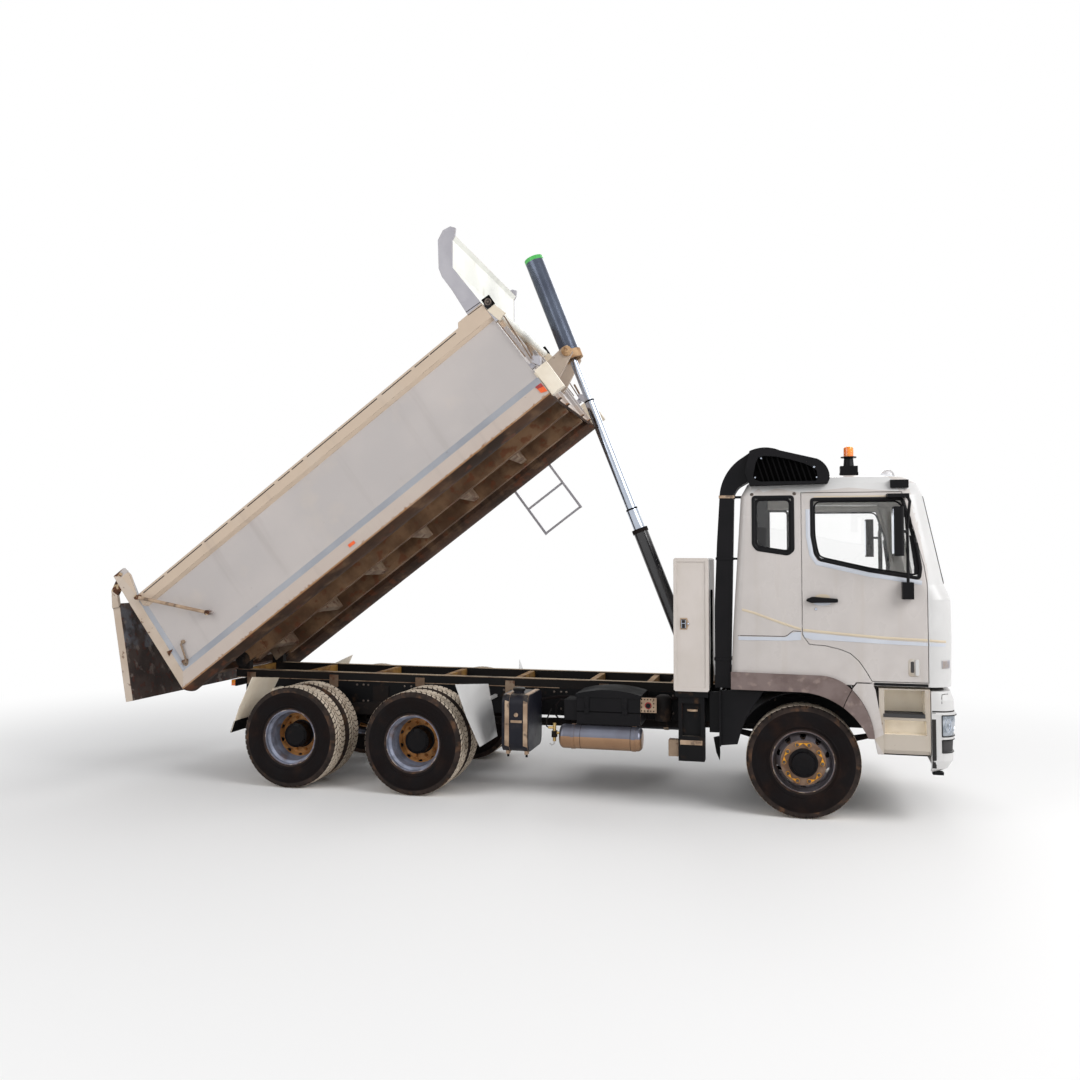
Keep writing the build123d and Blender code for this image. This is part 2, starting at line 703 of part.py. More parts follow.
def cab_steps():
    """Step box under each door and the tail of the front wing beside it."""
    box = block(655, 1084, 900, 1196, 622, STEP_TOP)
    box -= block(700, 1040, 1010, 1300, 976, 1190)
    box -= block(700, 1050, 1110, 1300, 800, 926)
    box = chamfer(box.edges().filter_by(Axis.X).group_by(Axis.Z)[0].sort_by(Axis.Y)[-1], 40)
    tail = wing_tail(1150, FLARE_IN + 3) & seam_volume(-SEAM_GAP / 2)
    stay = block(700, 1060, RAIL_OUT, 901, 800, 860)
    return both(fuse([box, tail, stay]))


def flare_ends():
    """Front ends of the arch flares, which stay with the steps."""
    return both(flare_band(FLARE_OUT, FLARE_IN) & seam_volume(-SEAM_GAP / 2))


# Cab

# columns: height, back, front at the middle, half width, rise per unit of inset
CAB_SECTIONS = [
    (CAB_FLOOR_Z, -635.0, 1332.0, 1206.0, CAB_FLOOR_SHARE),
    (1640.0, -618.0, 1340.0, 1214.0, 0.0),
    (1990.0, -597.0, 1338.0, 1212.0, 0.0),
    (2120.0, -588.0, 1282.0, 1206.0, 0.0),
    (2925.0, -540.0, 1122.0, 1150.0, 0.0),
    (3040.0, -480.0, 1078.0, 1092.0, -0.6),
    (3100.0, -380.0, 985.0, 1030.0, -0.8),
    (3124.0, -250.0, 850.0, 920.0, -1.0),
]


def cab_section(z, back, front, half):
    """Plan outline of the cab at one height."""
    turn = CORNER_RADIUS
    cut = turn * (1 - math.sqrt(0.5))
    nose = front - FRONT_BOW
    small = BACK_RADIUS * (1 - math.sqrt(0.5))
    edges = [
        Line((back + BACK_RADIUS, -half), (nose - turn, -half)),
        ThreePointArc((nose - turn, -half), (nose - cut, -half + cut), (nose, -half + turn)),
        ThreePointArc((nose, -half + turn), (front, 0), (nose, half - turn)),
        ThreePointArc((nose, half - turn), (nose - cut, half - cut), (nose - turn, half)),
        Line((nose - turn, half), (back + BACK_RADIUS, half)),
        ThreePointArc((back + BACK_RADIUS, half), (back + small, half - small),
                      (back, half - BACK_RADIUS)),
        Line((back, half - BACK_RADIUS), (back, -half + BACK_RADIUS)),
        ThreePointArc((back, -half + BACK_RADIUS), (back + small, -half + small),
                      (back + BACK_RADIUS, -half)),
    ]
    return Pos(0, 0, z) * make_face(edges)


def cab_form(inset):
    """Closed cab form, drawn in by an inset on every side."""
    faces = []
    for z, back, front, half, rise in CAB_SECTIONS:
        faces.append(cab_section(z + rise * inset, back + inset, front - inset, half - inset))
    return loft(faces, ruled=True)


DOOR_EDGES = [
    (0.0, 2955.0), (0.0, 1660.0), (62.0, 1572.0), (200.0, 1563.0), (330.0, 1533.0), (415.0, 1500.0),
    (490.0, 1431.0), (548.0, 1344.0), (598.0, 1256.0), (1077.0, 1256.0), (1077.0, 2130.0),
    (1054.0, 2290.0), (975.0, 2610.0), (880.0, 2955.0),
]
DOOR_WINDOW = [
    (108.0, 2880.0), (108.0, 2560.0), (135.0, 2400.0), (165.0, 2350.0), (595.0, 2252.0),
    (1000.0, 2190.0), (1012.0, 2270.0), (962.0, 2610.0), (868.0, 2880.0),
]
QUARTER_WINDOW = [
    (-415.0, 2905.0), (-415.0, 2480.0), (-385.0, 2440.0), (-120.0, 2400.0), (-82.0, 2430.0), (-82.0, 2905.0),
]
SCREEN = [(-1000.0, 2150.0), (1000.0, 2150.0), (935.0, 2900.0), (-935.0, 2900.0)]
REAR_WINDOW = [(-560.0, 2350.0), (560.0, 2350.0), (560.0, 2780.0), (-560.0, 2780.0)]


def shrunk(points, gap, y0, y1):
    """Prism of an outline drawn in by a gap all round."""
    face = Plane.XZ * make_face(Polyline(*points, close=True))
    if gap:
        face = offset(face, amount=-gap, kind=Kind.INTERSECTION)
    return Pos(0, y1, 0) * extrude(face, y1 - y0)


def write_cab():
    """Cab shell, doors, glass and the flares that tilt with the cab."""
    outer = cab_form(0)
    inner = cab_form(CAB_WALL)
    glass = cab_form(GLASS_INSET) - cab_form(GLASS_INSET + GLASS_THICK)
    walls = outer - inner
    shell = walls - block(1352 - 12 - GRILLE_DEPTH, 1500, -624, 624, 1296, 1764)
    tail = wing_tail(1146, 1300) & seam_volume(SEAM_GAP / 2)
    shell = shell - tail - mirror(tail, about=Plane.XZ)
    panes = []
    for side, y0, y1 in (("left", 900, 1400), ("right", -1400, -900)):
        opening = side_prism(DOOR_EDGES, y0, y1)
        shell -= opening
        door = walls & shrunk(DOOR_EDGES, SEAM_GAP, y0, y1)
        window = side_prism(DOOR_WINDOW, y0, y1)
        door -= window
        save(f"door_{side}", door)
        save(f"door_glass_{side}", glass & shrunk(DOOR_WINDOW, 1.0, y0, y1))
        quarter = side_prism(QUARTER_WINDOW, y0, y1)
        shell -= quarter
        panes.append(glass & shrunk(QUARTER_WINDOW, 1.0, y0, y1))
    screen = front_prism(SCREEN, 700, 1500)
    back = front_prism(REAR_WINDOW, -800, -400)
    shell -= screen
    shell -= back
    panes.append(glass & screen)
    panes.append(glass & back)
    save("cab_shell", shell)
    save("cab_glass", panes)
    upper = flare_band(FLARE_OUT, FLARE_IN)
    upper += flare_band(FLARE_IN, FLARE_LIP_IN) & block(-700, 700, 1100, 1300, 1000, CAB_FLOOR_Z - 1)
    save("arch_flares", both(upper - seam_volume(SEAM_GAP / 2)))


def grille():
    """Slatted air grille on the cab's front."""
    face_x = 1338.0
    frame = block(1291, face_x + 14, -620, 620, 1300, 1760) - block(1200, 1500, -590, 590, 1330, 1730)
    for z in (1380, 1450, 1520, 1590, 1660):
        frame += block(1296, face_x + 6, -600, 600, z, z + 30)
    return frame


INTAKE_OUTLINE = [
    Line((-500, 3150), (-455, 3020)),
    Line((-455, 3020), (240, 3034)),
    Line((240, 3034), (258, 3075)),
    ThreePointArc((258, 3075), (225, 3200), (150, 3262)),
    Line((150, 3262), (-180, 3345)),
    ThreePointArc((-180, 3345), (-330, 3375), (-455, 3345)),
    Line((-455, 3345), (-500, 3150)),
]
INTAKE_MOUTH = [
    (-425, 3105), (-400, 3232), (-375, 3284), (-320, 3296), (-215, 3288), (-90, 3260), (25, 3224),
    (118, 3182), (146, 3150), (152, 3075), (135, 3058), (-361, 3058), (-412, 3080),
]
INTAKE_ELBOW = [
    ThreePointArc((-735, 2900), (-690, 3101), (-560, 3263)),
    Line((-560, 3263), (-450, 3338)),
    Line((-450, 3338), (-450, 3075)),
    Line((-450, 3075), (-517, 3037)),
    ThreePointArc((-517, 3037), (-582, 2978), (-604, 2900)),
    Line((-604, 2900), (-735, 2900)),
]
INTAKE_DUCT = [(-735, 2905), (-604, 2905), (-645, 1150), (-785, 1150), (-785, 1900), (-760, 2500)]
INTAKE_OUT_Y = -1180.0
DUCT_OUT_Y = -1130.0
DUCT_IN_Y = -930.0
MOUTH_DEPTH = 70.0
SLAT_PITCH = 48
SLAT_THICK = 14
SLAT_LEAN = 80
# columns: height, back and front of each clamp round the duct
DUCT_CLAMPS = [(1400.0, -791.0, -633.0), (2333.0, -773.0, -610.0), (2912.0, -741.0, -597.0)]


def roof_intake():
    """Air intake on the right of the roof, with a slatted mouth and a duct down the cab's back."""
    housing = side_prism(INTAKE_OUTLINE, INTAKE_OUT_Y, -760)
    floor_y = INTAKE_OUT_Y + MOUTH_DEPTH
    housing -= side_prism(INTAKE_MOUTH, INTAKE_OUT_Y - 20, floor_y)
    well = side_prism(INTAKE_MOUTH, floor_y - 42, floor_y + 1)
    for x in range(-330, 240, SLAT_PITCH):
        slat = [(x, 3050), (x + SLAT_THICK, 3050), (x + SLAT_THICK - SLAT_LEAN, 3300), (x - SLAT_LEAN, 3300)]
        housing += well & side_prism(slat, floor_y - 50, floor_y + 10)
    elbow = side_prism(INTAKE_ELBOW, DUCT_OUT_Y, DUCT_IN_Y)
    duct = side_prism(INTAKE_DUCT, DUCT_OUT_Y, DUCT_IN_Y)
    for z, back, front in DUCT_CLAMPS:
        duct += block(back, front, DUCT_OUT_Y - 6, DUCT_IN_Y + 6, z, z + 24)
        duct += block(-660, -500, -1060, -1000, z + 2, z + 22)
    return fuse([housing, elbow, duct]) - cab_form(0)


def beacon():
    """Amber beacon on a black stand."""
    x, y, roof = 470.0, -500.0, CAB_SECTIONS[-1][0]
    base = Pos(x, y, roof + 30) * Box(170, 130, 60)
    stand = Pos(x, y, roof + 91) * Box(164, 110, 64)
    neck = Pos(x, y, roof + 165) * Cone(50, 42, 86)
    disc = Pos(x, y, roof + 210) * Cylinder(74, 10)
    lens = Pos(x, y, roof + 264) * Cylinder(47, 100)
    lens = fillet(lens.edges().filter_by(GeomType.CIRCLE).sort_by(Axis.Z)[-1], 18)
    return fuse([base, stand, neck, disc, lens])


def roof_fittings():
    """Low dome on the roof and the black bracket on its right edge."""
    dome = Pos(800, -750, 3126) * Sphere(62)
    bracket = block(785, 940, -1142, -1040, 2990, 3062)
    return [dome - cab_form(0), bracket - cab_form(0)]


def seats():
    """Driver's and passenger's seats."""
    seat = block(180, 640, 320, 800, 1560, 1690) + block(230, 600, 380, 740, 1283, 1561)
    back = side_prism([(180, 1600), (300, 1600), (200, 2270), (90, 2270)], 330, 790)
    return both(fuse([seat, back]))


def dashboard():
    """Dashboard across the cab with the steering column and wheel on the right."""
    dash = side_prism([
        (1270, 1400), (1270, 2080), (1090, 2090), (980, 1960), (1010, 1700), (1150, 1400),
    ], -1100, 1100) & cab_form(CAB_WALL + 4)
    column = bar((1060, -560, 1800), (760, -560, 2050), 32)
    ring = Pos(760, -560, 2050) * Rot(0, -50, 0) * Torus(215, 16)
    spoke = Pos(760, -560, 2050) * Rot(0, -50, 0) * Box(60, 420, 20)
    return fuse([dash, column, spoke, ring])


def mirror_arm():
    """Left mirror head with its arm and two brackets on the door."""
    head = block(772, 856, 1310, 1500, 2374, 2802)
    head = fillet(head.edges().filter_by(Axis.Z), 24)
    low = block(858, 952, 1180, 1300, 1994, 2143)
    high = block(745, 930, 1120, 1262, 2896, 2930)
    stations = [(908, 1262, 2060), (908, 1262, 2640), (934, 1250, 2860), (910, 1240, 2914)]
    pole = [bar(start, end, 13) for start, end in zip(stations, stations[1:])]
    joints = [Pos(*point) * Sphere(13) for point in stations[1:3]]
    link = bar((908, 1262, 2590), (830, 1340, 2590), 13)
    return fuse([low, high, link, head] + pole + joints) - cab_form(0)


# Hoist


def tray_point(along, up):
    """Place of a tray point with the tray raised, as X and Z."""
    turn = math.radians(TRAY_TILT)
    dx, dz = along - PIVOT_ALONG, up - PIVOT_UP
    x = TRAY_PIVOT_X + dx * math.cos(turn) - dz * math.sin(turn)
    z = TRAY_PIVOT_Z + dx * math.sin(turn) + dz * math.cos(turn)
    return x, z


def raised(shape):
    """Tray piece turned to the raised position."""
    turn = Pos(TRAY_PIVOT_X, 0, TRAY_PIVOT_Z) * Rot(0, -TRAY_TILT, 0)
    return turn * Pos(-PIVOT_ALONG, 0, -PIVOT_UP) * shape


COLLAR_X, COLLAR_Z = tray_point(COLLAR_ALONG, COLLAR_UP)
HOIST_LENGTH = math.hypot(COLLAR_X - HOIST_X, COLLAR_Z - HOIST_Z)
HOIST_LEAN = math.degrees(math.atan2(HOIST_X - COLLAR_X, COLLAR_Z - HOIST_Z))
STAGE_1_TOP = 2020.0
STAGE_2_TOP = 3290.0


def on_hoist(shape):
    """Piece drawn upright on the hoist's foot, leaned back to the hoist's line."""
    return Pos(HOIST_X, 0, HOIST_Z) * Rot(0, -HOIST_LEAN, 0) * shape


def tube(z0, z1, radius, bore):
    """Upright tube between two heights."""
    body = Pos(0, 0, (z0 + z1) / 2) * Cylinder(radius, z1 - z0)
    return body - Pos(0, 0, (z0 + z1) / 2) * Cylinder(bore, z1 - z0 + 2)


def write_hoist():
    """Barrel, two sleeves, rod, outer cover and trunnion collar."""
    barrel = tube(-BARREL_BELOW + 20, BARREL_TOP, BARREL_RADIUS, BARREL_RADIUS - TUBE_WALL)
    barrel += Pos(0, 0, -BARREL_BELOW + 10) * Cylinder(BARREL_RADIUS, 20)
    barrel += tube(BARREL_TOP - 60, BARREL_TOP, BARREL_RADIUS, STAGE_1_RADIUS + 1)
    pins = cross_tube(0, 0, 70, 146, TRUNNION_RADIUS)
    barrel = fuse([barrel] + both(pins))
    save("hoist_barrel", on_hoist(barrel))
    first = tube(STAGE_1_TOP - 1850, STAGE_1_TOP, STAGE_1_RADIUS, STAGE_2_RADIUS + 1)
    save("hoist_sleeve_1", on_hoist(first))
    second = tube(STAGE_2_TOP - 1740, STAGE_2_TOP, STAGE_2_RADIUS, ROD_RADIUS + 1)
    save("hoist_sleeve_2", on_hoist(second))
    top = HOIST_LENGTH + COVER_LENGTH
    rod = Pos(0, 0, top - 15 - 2050 / 2) * Cylinder(ROD_RADIUS, 2050)
    cover = tube(HOIST_LENGTH + 45, top, COVER_RADIUS, COVER_RADIUS - 8)
    cover += Pos(0, 0, top - 8) * Cylinder(COVER_RADIUS, 14)
    save("hoist_rod", on_hoist(rod - Pos(0, 0, top) * Cylinder(60, 30)))
    save("hoist_cover", on_hoist(cover))
    collar = tube(HOIST_LENGTH - 50, HOIST_LENGTH + 44, 118, BARREL_RADIUS + 12)
    collar += both(cross_tube(0, HOIST_LENGTH, 100, 200, TRUNNION_RADIUS))
    save("hoist_collar", on_hoist(collar))


# Tray


def side_profile():
    """Left wall of the tray in Y and height: bowed box sill, sloped ledge, plate and coaming."""
    half = TRAY_HALF
    plate_out = half - SIDE_INSET
    plate_in = plate_out - SIDE_PLATE
    sill_in = half - SILL_WIDTH
    ledge = SILL_FACE_UP + SILL_SLOPE
    under = TRAY_FLOOR_UP - FLOOR_PLATE
    rim = TRAY_TOP_UP - COAMING_HEIGHT
    lip_in = half - COAMING_WIDTH
    wall = SIDE_PLATE
    middle = half - SILL_WIDTH / 2
    return [
        Polyline((half, 0), (half, SILL_FACE_UP), (plate_out, ledge), (plate_out, rim - COAMING_STEP),
                 (half - 8, rim), (half - 8, TRAY_TOP_UP), (lip_in, TRAY_TOP_UP), (lip_in, rim),
                 (plate_in, rim - COAMING_STEP), (plate_in, under), (plate_out + 8, under),
                 (half - wall, SILL_FACE_UP - wall), (half - wall, 8)),
        ThreePointArc((half - wall, 8), (middle, wall - SILL_BELLY), (sill_in + wall, 20)),
        Polyline((sill_in + wall, 20), (sill_in + wall, under), (sill_in, under), (sill_in, 12)),
        ThreePointArc((sill_in, 12), (middle, -SILL_BELLY), (half, 0)),
    ]


def tray_body():
    """Open tray: floor, two folded sides, front wall, rear corner posts and brace arms."""
    half = TRAY_HALF
    top = TRAY_TOP_UP
    floor_half = half - 30
    floor = block(0, TRAY_LENGTH, -floor_half, floor_half, TRAY_FLOOR_UP - FLOOR_PLATE, TRAY_FLOOR_UP)
    wall = front_prism(side_profile(), 0, TRAY_LENGTH)
    foot = TRAY_LENGTH - HEAD_RISE_LENGTH
    rise = side_prism([
        (foot, top - 20), (foot + 45, top + HEAD_RISE), (TRAY_LENGTH, top + HEAD_RISE),
        (TRAY_LENGTH, top - 20),
    ], half - COAMING_WIDTH, half - 8)
    inner = half - SIDE_INSET - SIDE_PLATE
    flank = POST_LENGTH + POST_FLANK
    post = plan_prism([
        (0, inner), (0, half), (POST_LENGTH, half), (flank, half - SIDE_INSET), (flank, inner),
    ], 0, top - POST_BELOW_TOP)
    shoulder = top - POST_BELOW_TOP - 20
    ear = side_prism([
        (0, shoulder), (118, shoulder), (178, top + 232), (160, top + EAR_ABOVE_TOP),
        (12, top + EAR_ABOVE_TOP),
    ], half - EAR_PLATE, half)
    ear -= cross_tube(GATE_PIN_ALONG, GATE_PIN_UP, half - 80, half + 40, GATE_PIN_RADIUS + RUN_FIT)
    arm = bar((125, half + 40, top - 20), (736, half + 40, top - 676), 18)
    upper_lug = cross_tube(140, top - 36, half - 2, half + 60, 26)
    lower_lug = cross_tube(722, top - 661, half - SIDE_INSET - 4, half + 60, 26)
    side = fuse([wall, rise, post, ear, arm, upper_lug, lower_lug])
    front_half = half - SIDE_INSET - 4
    front = block(TRAY_LENGTH - FRONT_WALL, TRAY_LENGTH, -front_half, front_half, 0, top)
    cap = block(TRAY_LENGTH - 70, TRAY_LENGTH, -front_half, front_half, top - 90, top)
    posts = []
    for y in (-800, -400, 400, 800):
        posts.append(block(TRAY_LENGTH - 1, TRAY_LENGTH + 36, y - 30, y + 30, 10, top - 92))
    tail = block(0, 60, -floor_half, floor_half, 100, TRAY_FLOOR_UP)
    return fuse([floor, front, cap, tail] + posts + both(side))


def tray_frame():
    """Runners, cross-members and hinge lugs under the tray floor."""
    top = TRAY_FLOOR_UP - FLOOR_PLATE
    y0, y1 = RUNNER_Y - RUNNER_WIDTH / 2, RUNNER_Y + RUNNER_WIDTH / 2
    runner = block(PIVOT_ALONG + 130, TRAY_LENGTH - 30, y0, y1, -RUNNER_DROP, top)
    runner += block(61, PIVOT_ALONG + 131, y0, y1, 130, top)
    pieces = []
    for y in (y0 - 22, y1 + 4):
        lug = side_prism([
            (PIVOT_ALONG - 60, PIVOT_UP - 60), (PIVOT_ALONG + 60, PIVOT_UP - 60), (PIVOT_ALONG + 300, -20),
            (PIVOT_ALONG + 300, top), (PIVOT_ALONG - 60, top),
        ], y, y + 18)
        pieces.append(lug)
        pieces.append(block(PIVOT_ALONG + 140, PIVOT_ALONG + 290, y - 5, y + 23, 0, top - 10))
    pin = cross_tube(PIVOT_ALONG, PIVOT_UP, y0 - 22, y1 + 22, 30)
    side = fuse([runner, pin] + pieces)
    members = []
    place = MEMBER_FIRST
    while place < TRAY_LENGTH - MEMBER_PITCH / 2:
        web = block(place - 5, place + 5, -y0 - 1, y0 + 1, 0, top)
        foot = block(place - MEMBER_WIDTH, place + 5, -y0 - 1, y0 + 1, 0, 10)
        members += [web, foot]
        place += MEMBER_PITCH
    return fuse(both(side)[:1] + members + both(side)[1:])


def head_guard():
    """Guard over the tray's front: two cranked side plates, a folded sheet with ribs, and the tarp roller."""
    end = TRAY_LENGTH
    top = TRAY_TOP_UP
    foot = top + HEAD_RISE
    plate = side_prism([
        (end - 182, foot), (end - 158, foot + 306), (end - 158, foot + 484), (end - 133, foot + 576),
        (end + 33, foot + 815), (end + 133, foot + 862), (end + 217, foot + 842), (end + 249, foot + 795),
        (end + 196, foot + 739), (end + 150, foot + 722), (end - 17, foot + 496), (end - 1, foot),
    ], GUARD_Y, GUARD_Y + GUARD_PLATE)
    sheet = side_prism([
        (end - 14, top), (end - 30, foot + 500), (end + 144, foot + 736), (end + 197, foot + 754),
        (end + 200, foot + 743), (end + 150, foot + 724), (end - 19, foot + 496), (end - 4, top),
    ], -GUARD_Y - 1, GUARD_Y + 1)
    ribs = []
    for y in (-600, 0, 600):
        ribs.append(side_prism([
            (end - 66, top), (end - 82, foot + 480), (end + 60, foot + 690), (end + 110, foot + 700),
            (end - 29, foot + 500), (end - 13, top),
        ], y - 20, y + 20))
    guard = fuse([sheet] + ribs + both(plate))
    for rise in both(block(end - HEAD_RISE_LENGTH - 1, end + 1, TRAY_HALF - COAMING_WIDTH - 1, TRAY_HALF - 7,
                           top - 1, foot)):
        guard -= rise
    roller = cross_tube(end + 46, top - 10, -TRAY_HALF - 4, TRAY_HALF + 4, ROLLER_RADIUS)
    cradle = side_prism([
        (end + 1, top - 200), (end + 1, top - 62), (end + 20, top - 30), (end + 100, top - 60),
        (end + 100, top - 200),
    ], TRAY_HALF - 24, TRAY_HALF - 8)
    hanger = block(end + 1, end + 50, 1090, 1130, top - 60, top - 30)
    return [guard, fuse([roller] + both(cradle) + both(hanger))]


def hoist_bracket():
    """Ears on the tray's front wall that reach to the hoist collar."""
    end = TRAY_LENGTH
    tip = end + COLLAR_AHEAD
    ear = side_prism([
        (end + 1, 330), (end + 60, 330), (tip + 45, 480), (tip + 45, 575), (tip - 10, 590), (end + 1, 560),
    ], 206, 250)
    pad = block(end + 1, end + 25, 190, 300, 320, 570)
    return both(fuse([ear, pad]))


def ladder():
    """Two-rung ladder that hangs from the tray's left sill."""
    y0 = TRAY_HALF + 2
    rails = [block(x - 14, x + 14, y0, y0 + 24, -675, 40) for x in (3680, 4220)]
    rungs = [block(3680, 4220, y0 + 2, y0 + 22, up - 12, up + 12) for up in (-290, -660)]
    return fuse(rails + rungs)


def tailgate():
    """Gate hung from pins above the tray's tail: skin, edge frame, ribs and hinge arms."""
    half = TRAY_HALF - POST_LENGTH / 2 - GATE_SIDE_GAP
    face = -GATE_GAP
    back = face - GATE_THICK
    low = GATE_BOTTOM_UP
    high = TRAY_TOP_UP
    skin = block(face - 10, face, -half, half, low, high)
    frame = block(back, face, -half, half, low, low + 80) + block(back, face, -half, half, high - 80, high)
    for y in (-half + 40, -580, 0, 580, half - 40):
        frame += block(back, face, y - 40, y + 40, low, high)
    arm = side_prism([
        (back, high - 40), (face, high - 40), (face, high + 90), (GATE_PIN_ALONG + 40, GATE_PIN_UP - 30),
        (GATE_PIN_ALONG + 40, GATE_PIN_UP + 35), (GATE_PIN_ALONG - 35, GATE_PIN_UP + 35),
        (back + 20, high + 150),
    ], TRAY_HALF - 80, TRAY_HALF - EAR_PLATE - 8)
    pin = cross_tube(GATE_PIN_ALONG, GATE_PIN_UP, TRAY_HALF - 80, TRAY_HALF + 10, GATE_PIN_RADIUS)
    return fuse([skin, frame] + both(fuse([arm, pin])))


def hung(shape):
    """Gate swung open about its pins, relative to the level tray."""
    turn = Pos(GATE_PIN_ALONG, 0, GATE_PIN_UP) * Rot(0, GATE_SWING, 0)
    return turn * Pos(-GATE_PIN_ALONG, 0, -GATE_PIN_UP) * shape


write_wheels()
save("knuckle_left", knuckle())
save("knuckle_right", mirror(knuckle(), about=Plane.XZ))
save("front_axle", front_axle())
save("drive_axles", [drive_axle(MID_X, 330), drive_axle(REAR_X, 330)])
save("springs", springs())
save("propshafts", propshafts())
save("chassis_rails", chassis_rails())
save("subframe", subframe())
save("engine", engine())
save("tanks", tanks())
save("battery_box", battery_box())
save("air_tank", air_tanks())
save("locker", locker())
save("locker_bracket", locker_bracket())
save("mudguards", mudguards())
save("bumper", bumper())
save("lamps", lamps())
save("cab_steps", cab_steps())
save("flare_ends", flare_ends())
write_cab()
save("grille", grille())
save("roof_intake", roof_intake())
save("beacon", beacon())
save("roof_fittings", roof_fittings())
save("seats", seats())
save("dashboard", dashboard())
save("mirror_left", mirror_arm())
save("mirror_right", mirror(mirror_arm(), about=Plane.XZ))
write_hoist()
save("tray_body", raised(tray_body()))
save("tray_frame", raised(tray_frame()))
save("head_guard", [raised(piece) for piece in head_guard()])
save("hoist_bracket", [raised(piece) for piece in hoist_bracket()])
save("ladder", raised(ladder()))
save("tailgate", raised(hung(tailgate())))
print("hoist length", round(HOIST_LENGTH, 2), "lean", round(HOIST_LEAN, 3))
print("collar", round(COLLAR_X, 1), round(COLLAR_Z, 1))
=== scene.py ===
"""Looks of a three-axle tipping truck: finishes, tyres, trim and the pale studio it stands in.

Lengths are metres in the part's own frame: X forward, Y to the left, Z up from the ground. Places on the
cab and the chassis are given forward of the front axle, and places on the tray along and above its floor.
"""
import json
import logging
import math
import random
from collections.abc import Callable
from dataclasses import dataclass
from enum import Enum
from functools import cache

import bmesh
import bpy
from mathutils import Matrix, Vector
from mathutils.bvhtree import BVHTree

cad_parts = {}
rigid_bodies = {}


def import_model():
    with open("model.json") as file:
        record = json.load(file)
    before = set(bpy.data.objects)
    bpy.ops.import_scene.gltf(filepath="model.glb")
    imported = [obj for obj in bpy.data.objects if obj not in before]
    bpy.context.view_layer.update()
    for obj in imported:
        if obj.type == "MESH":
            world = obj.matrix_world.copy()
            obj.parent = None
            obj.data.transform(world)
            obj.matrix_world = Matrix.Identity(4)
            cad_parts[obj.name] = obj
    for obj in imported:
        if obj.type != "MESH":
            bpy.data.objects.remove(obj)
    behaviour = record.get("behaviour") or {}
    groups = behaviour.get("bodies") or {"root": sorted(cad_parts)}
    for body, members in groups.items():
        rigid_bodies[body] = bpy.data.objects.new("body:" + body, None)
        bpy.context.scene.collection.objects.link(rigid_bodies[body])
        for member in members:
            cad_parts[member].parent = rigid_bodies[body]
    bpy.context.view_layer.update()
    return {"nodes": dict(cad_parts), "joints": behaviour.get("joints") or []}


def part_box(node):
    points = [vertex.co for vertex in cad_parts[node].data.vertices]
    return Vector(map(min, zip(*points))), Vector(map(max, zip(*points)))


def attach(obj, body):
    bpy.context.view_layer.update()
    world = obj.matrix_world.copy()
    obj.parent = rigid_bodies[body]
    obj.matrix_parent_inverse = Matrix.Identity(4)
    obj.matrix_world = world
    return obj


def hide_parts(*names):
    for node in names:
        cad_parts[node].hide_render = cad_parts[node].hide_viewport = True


for spare in list(bpy.data.objects):
    bpy.data.objects.remove(spare)
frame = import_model()

log = logging.getLogger("truck")
Colour = tuple[float, float, float]
Spot = tuple[float, float]
Place = tuple[float, float, float]
Seat = tuple[Vector, Vector]
Socket = bpy.types.NodeSocket

JOINTS = {joint["name"]: joint for joint in frame["joints"]}
FRONT_X = JOINTS["roll_front_left"]["pos_m"][0]
OUT = (0.0, 1.0, 0.0)
UP = (0.0, 0.0, 1.0)


class Side(Enum):
    """A side of the vehicle, by its direction along Y."""

    RIGHT = -1
    LEFT = 1

    def __str__(self) -> str:
        """Word for the side in the names of nodes and pieces."""
        return self.name.lower()


WHEELS = [(axle, side) for axle in ("front", "mid", "rear") for side in Side]


def about(place: Place, degrees: float, foot: Place) -> Matrix:
    """Axes turned about Y at a place, with a foot of the turned axes laid on that place."""
    turn = Matrix.Rotation(math.radians(degrees), 4, "Y")
    return Matrix.Translation(place) @ turn @ Matrix.Translation([-part for part in foot])


CHASSIS_AXES = Matrix.Translation((FRONT_X, 0, 0))
RIGHT_AXES = CHASSIS_AXES @ Matrix.Diagonal((1, Side.RIGHT.value, 1, 1))
TRAY_TILT = -JOINTS["tray_tilt"]["range_deg"][0]
TRAY_PIVOT = (0.342, 0.0, 0.048)
TRAY_AXES = about(JOINTS["tray_tilt"]["pos_m"], -TRAY_TILT, TRAY_PIVOT)
GATE_PIN = (0.095, 0.0, 1.43)
GATE_OPEN = 26.3
GATE_AXES = TRAY_AXES @ about(GATE_PIN, GATE_OPEN, GATE_PIN)
HOIST_WAY = JOINTS["cover_slide"]["axis"]
HOIST_LEAN = math.degrees(math.atan2(-HOIST_WAY[0], HOIST_WAY[2]))
HOIST_AXES = about(JOINTS["hoist_lean"]["pos_m"], -HOIST_LEAN, (0, 0, 0))
GATE_TILT = TRAY_TILT - GATE_OPEN
TRAY_RISE = (TRAY_AXES.inverted() @ Vector((0, 0, 0))).z
GATE_RISE = (GATE_AXES.inverted() @ Vector((0, 0, 0))).z
OIL_STRAPS = (-2.775, -2.591)
FUEL_STRAPS = (-2.125, -1.425)


def mirrored(axes: Matrix, side: Side) -> Matrix:
    """Axes in which Y runs outward on a side of the vehicle."""
    return axes @ Matrix.Diagonal((1, side.value, 1, 1))


def linear(colour: Colour) -> tuple[float, float, float, float]:
    """Turn a screen colour into a linear one.

    Args:
        colour: Red, green and blue from 0 to 1, as they look on a screen.

    Returns:
        The linear colour with full opacity.
    """
    parts = [c / 12.92 if c <= 0.04045 else ((c + 0.055) / 1.055) ** 2.4 for c in colour]
    return parts[0], parts[1], parts[2], 1.0


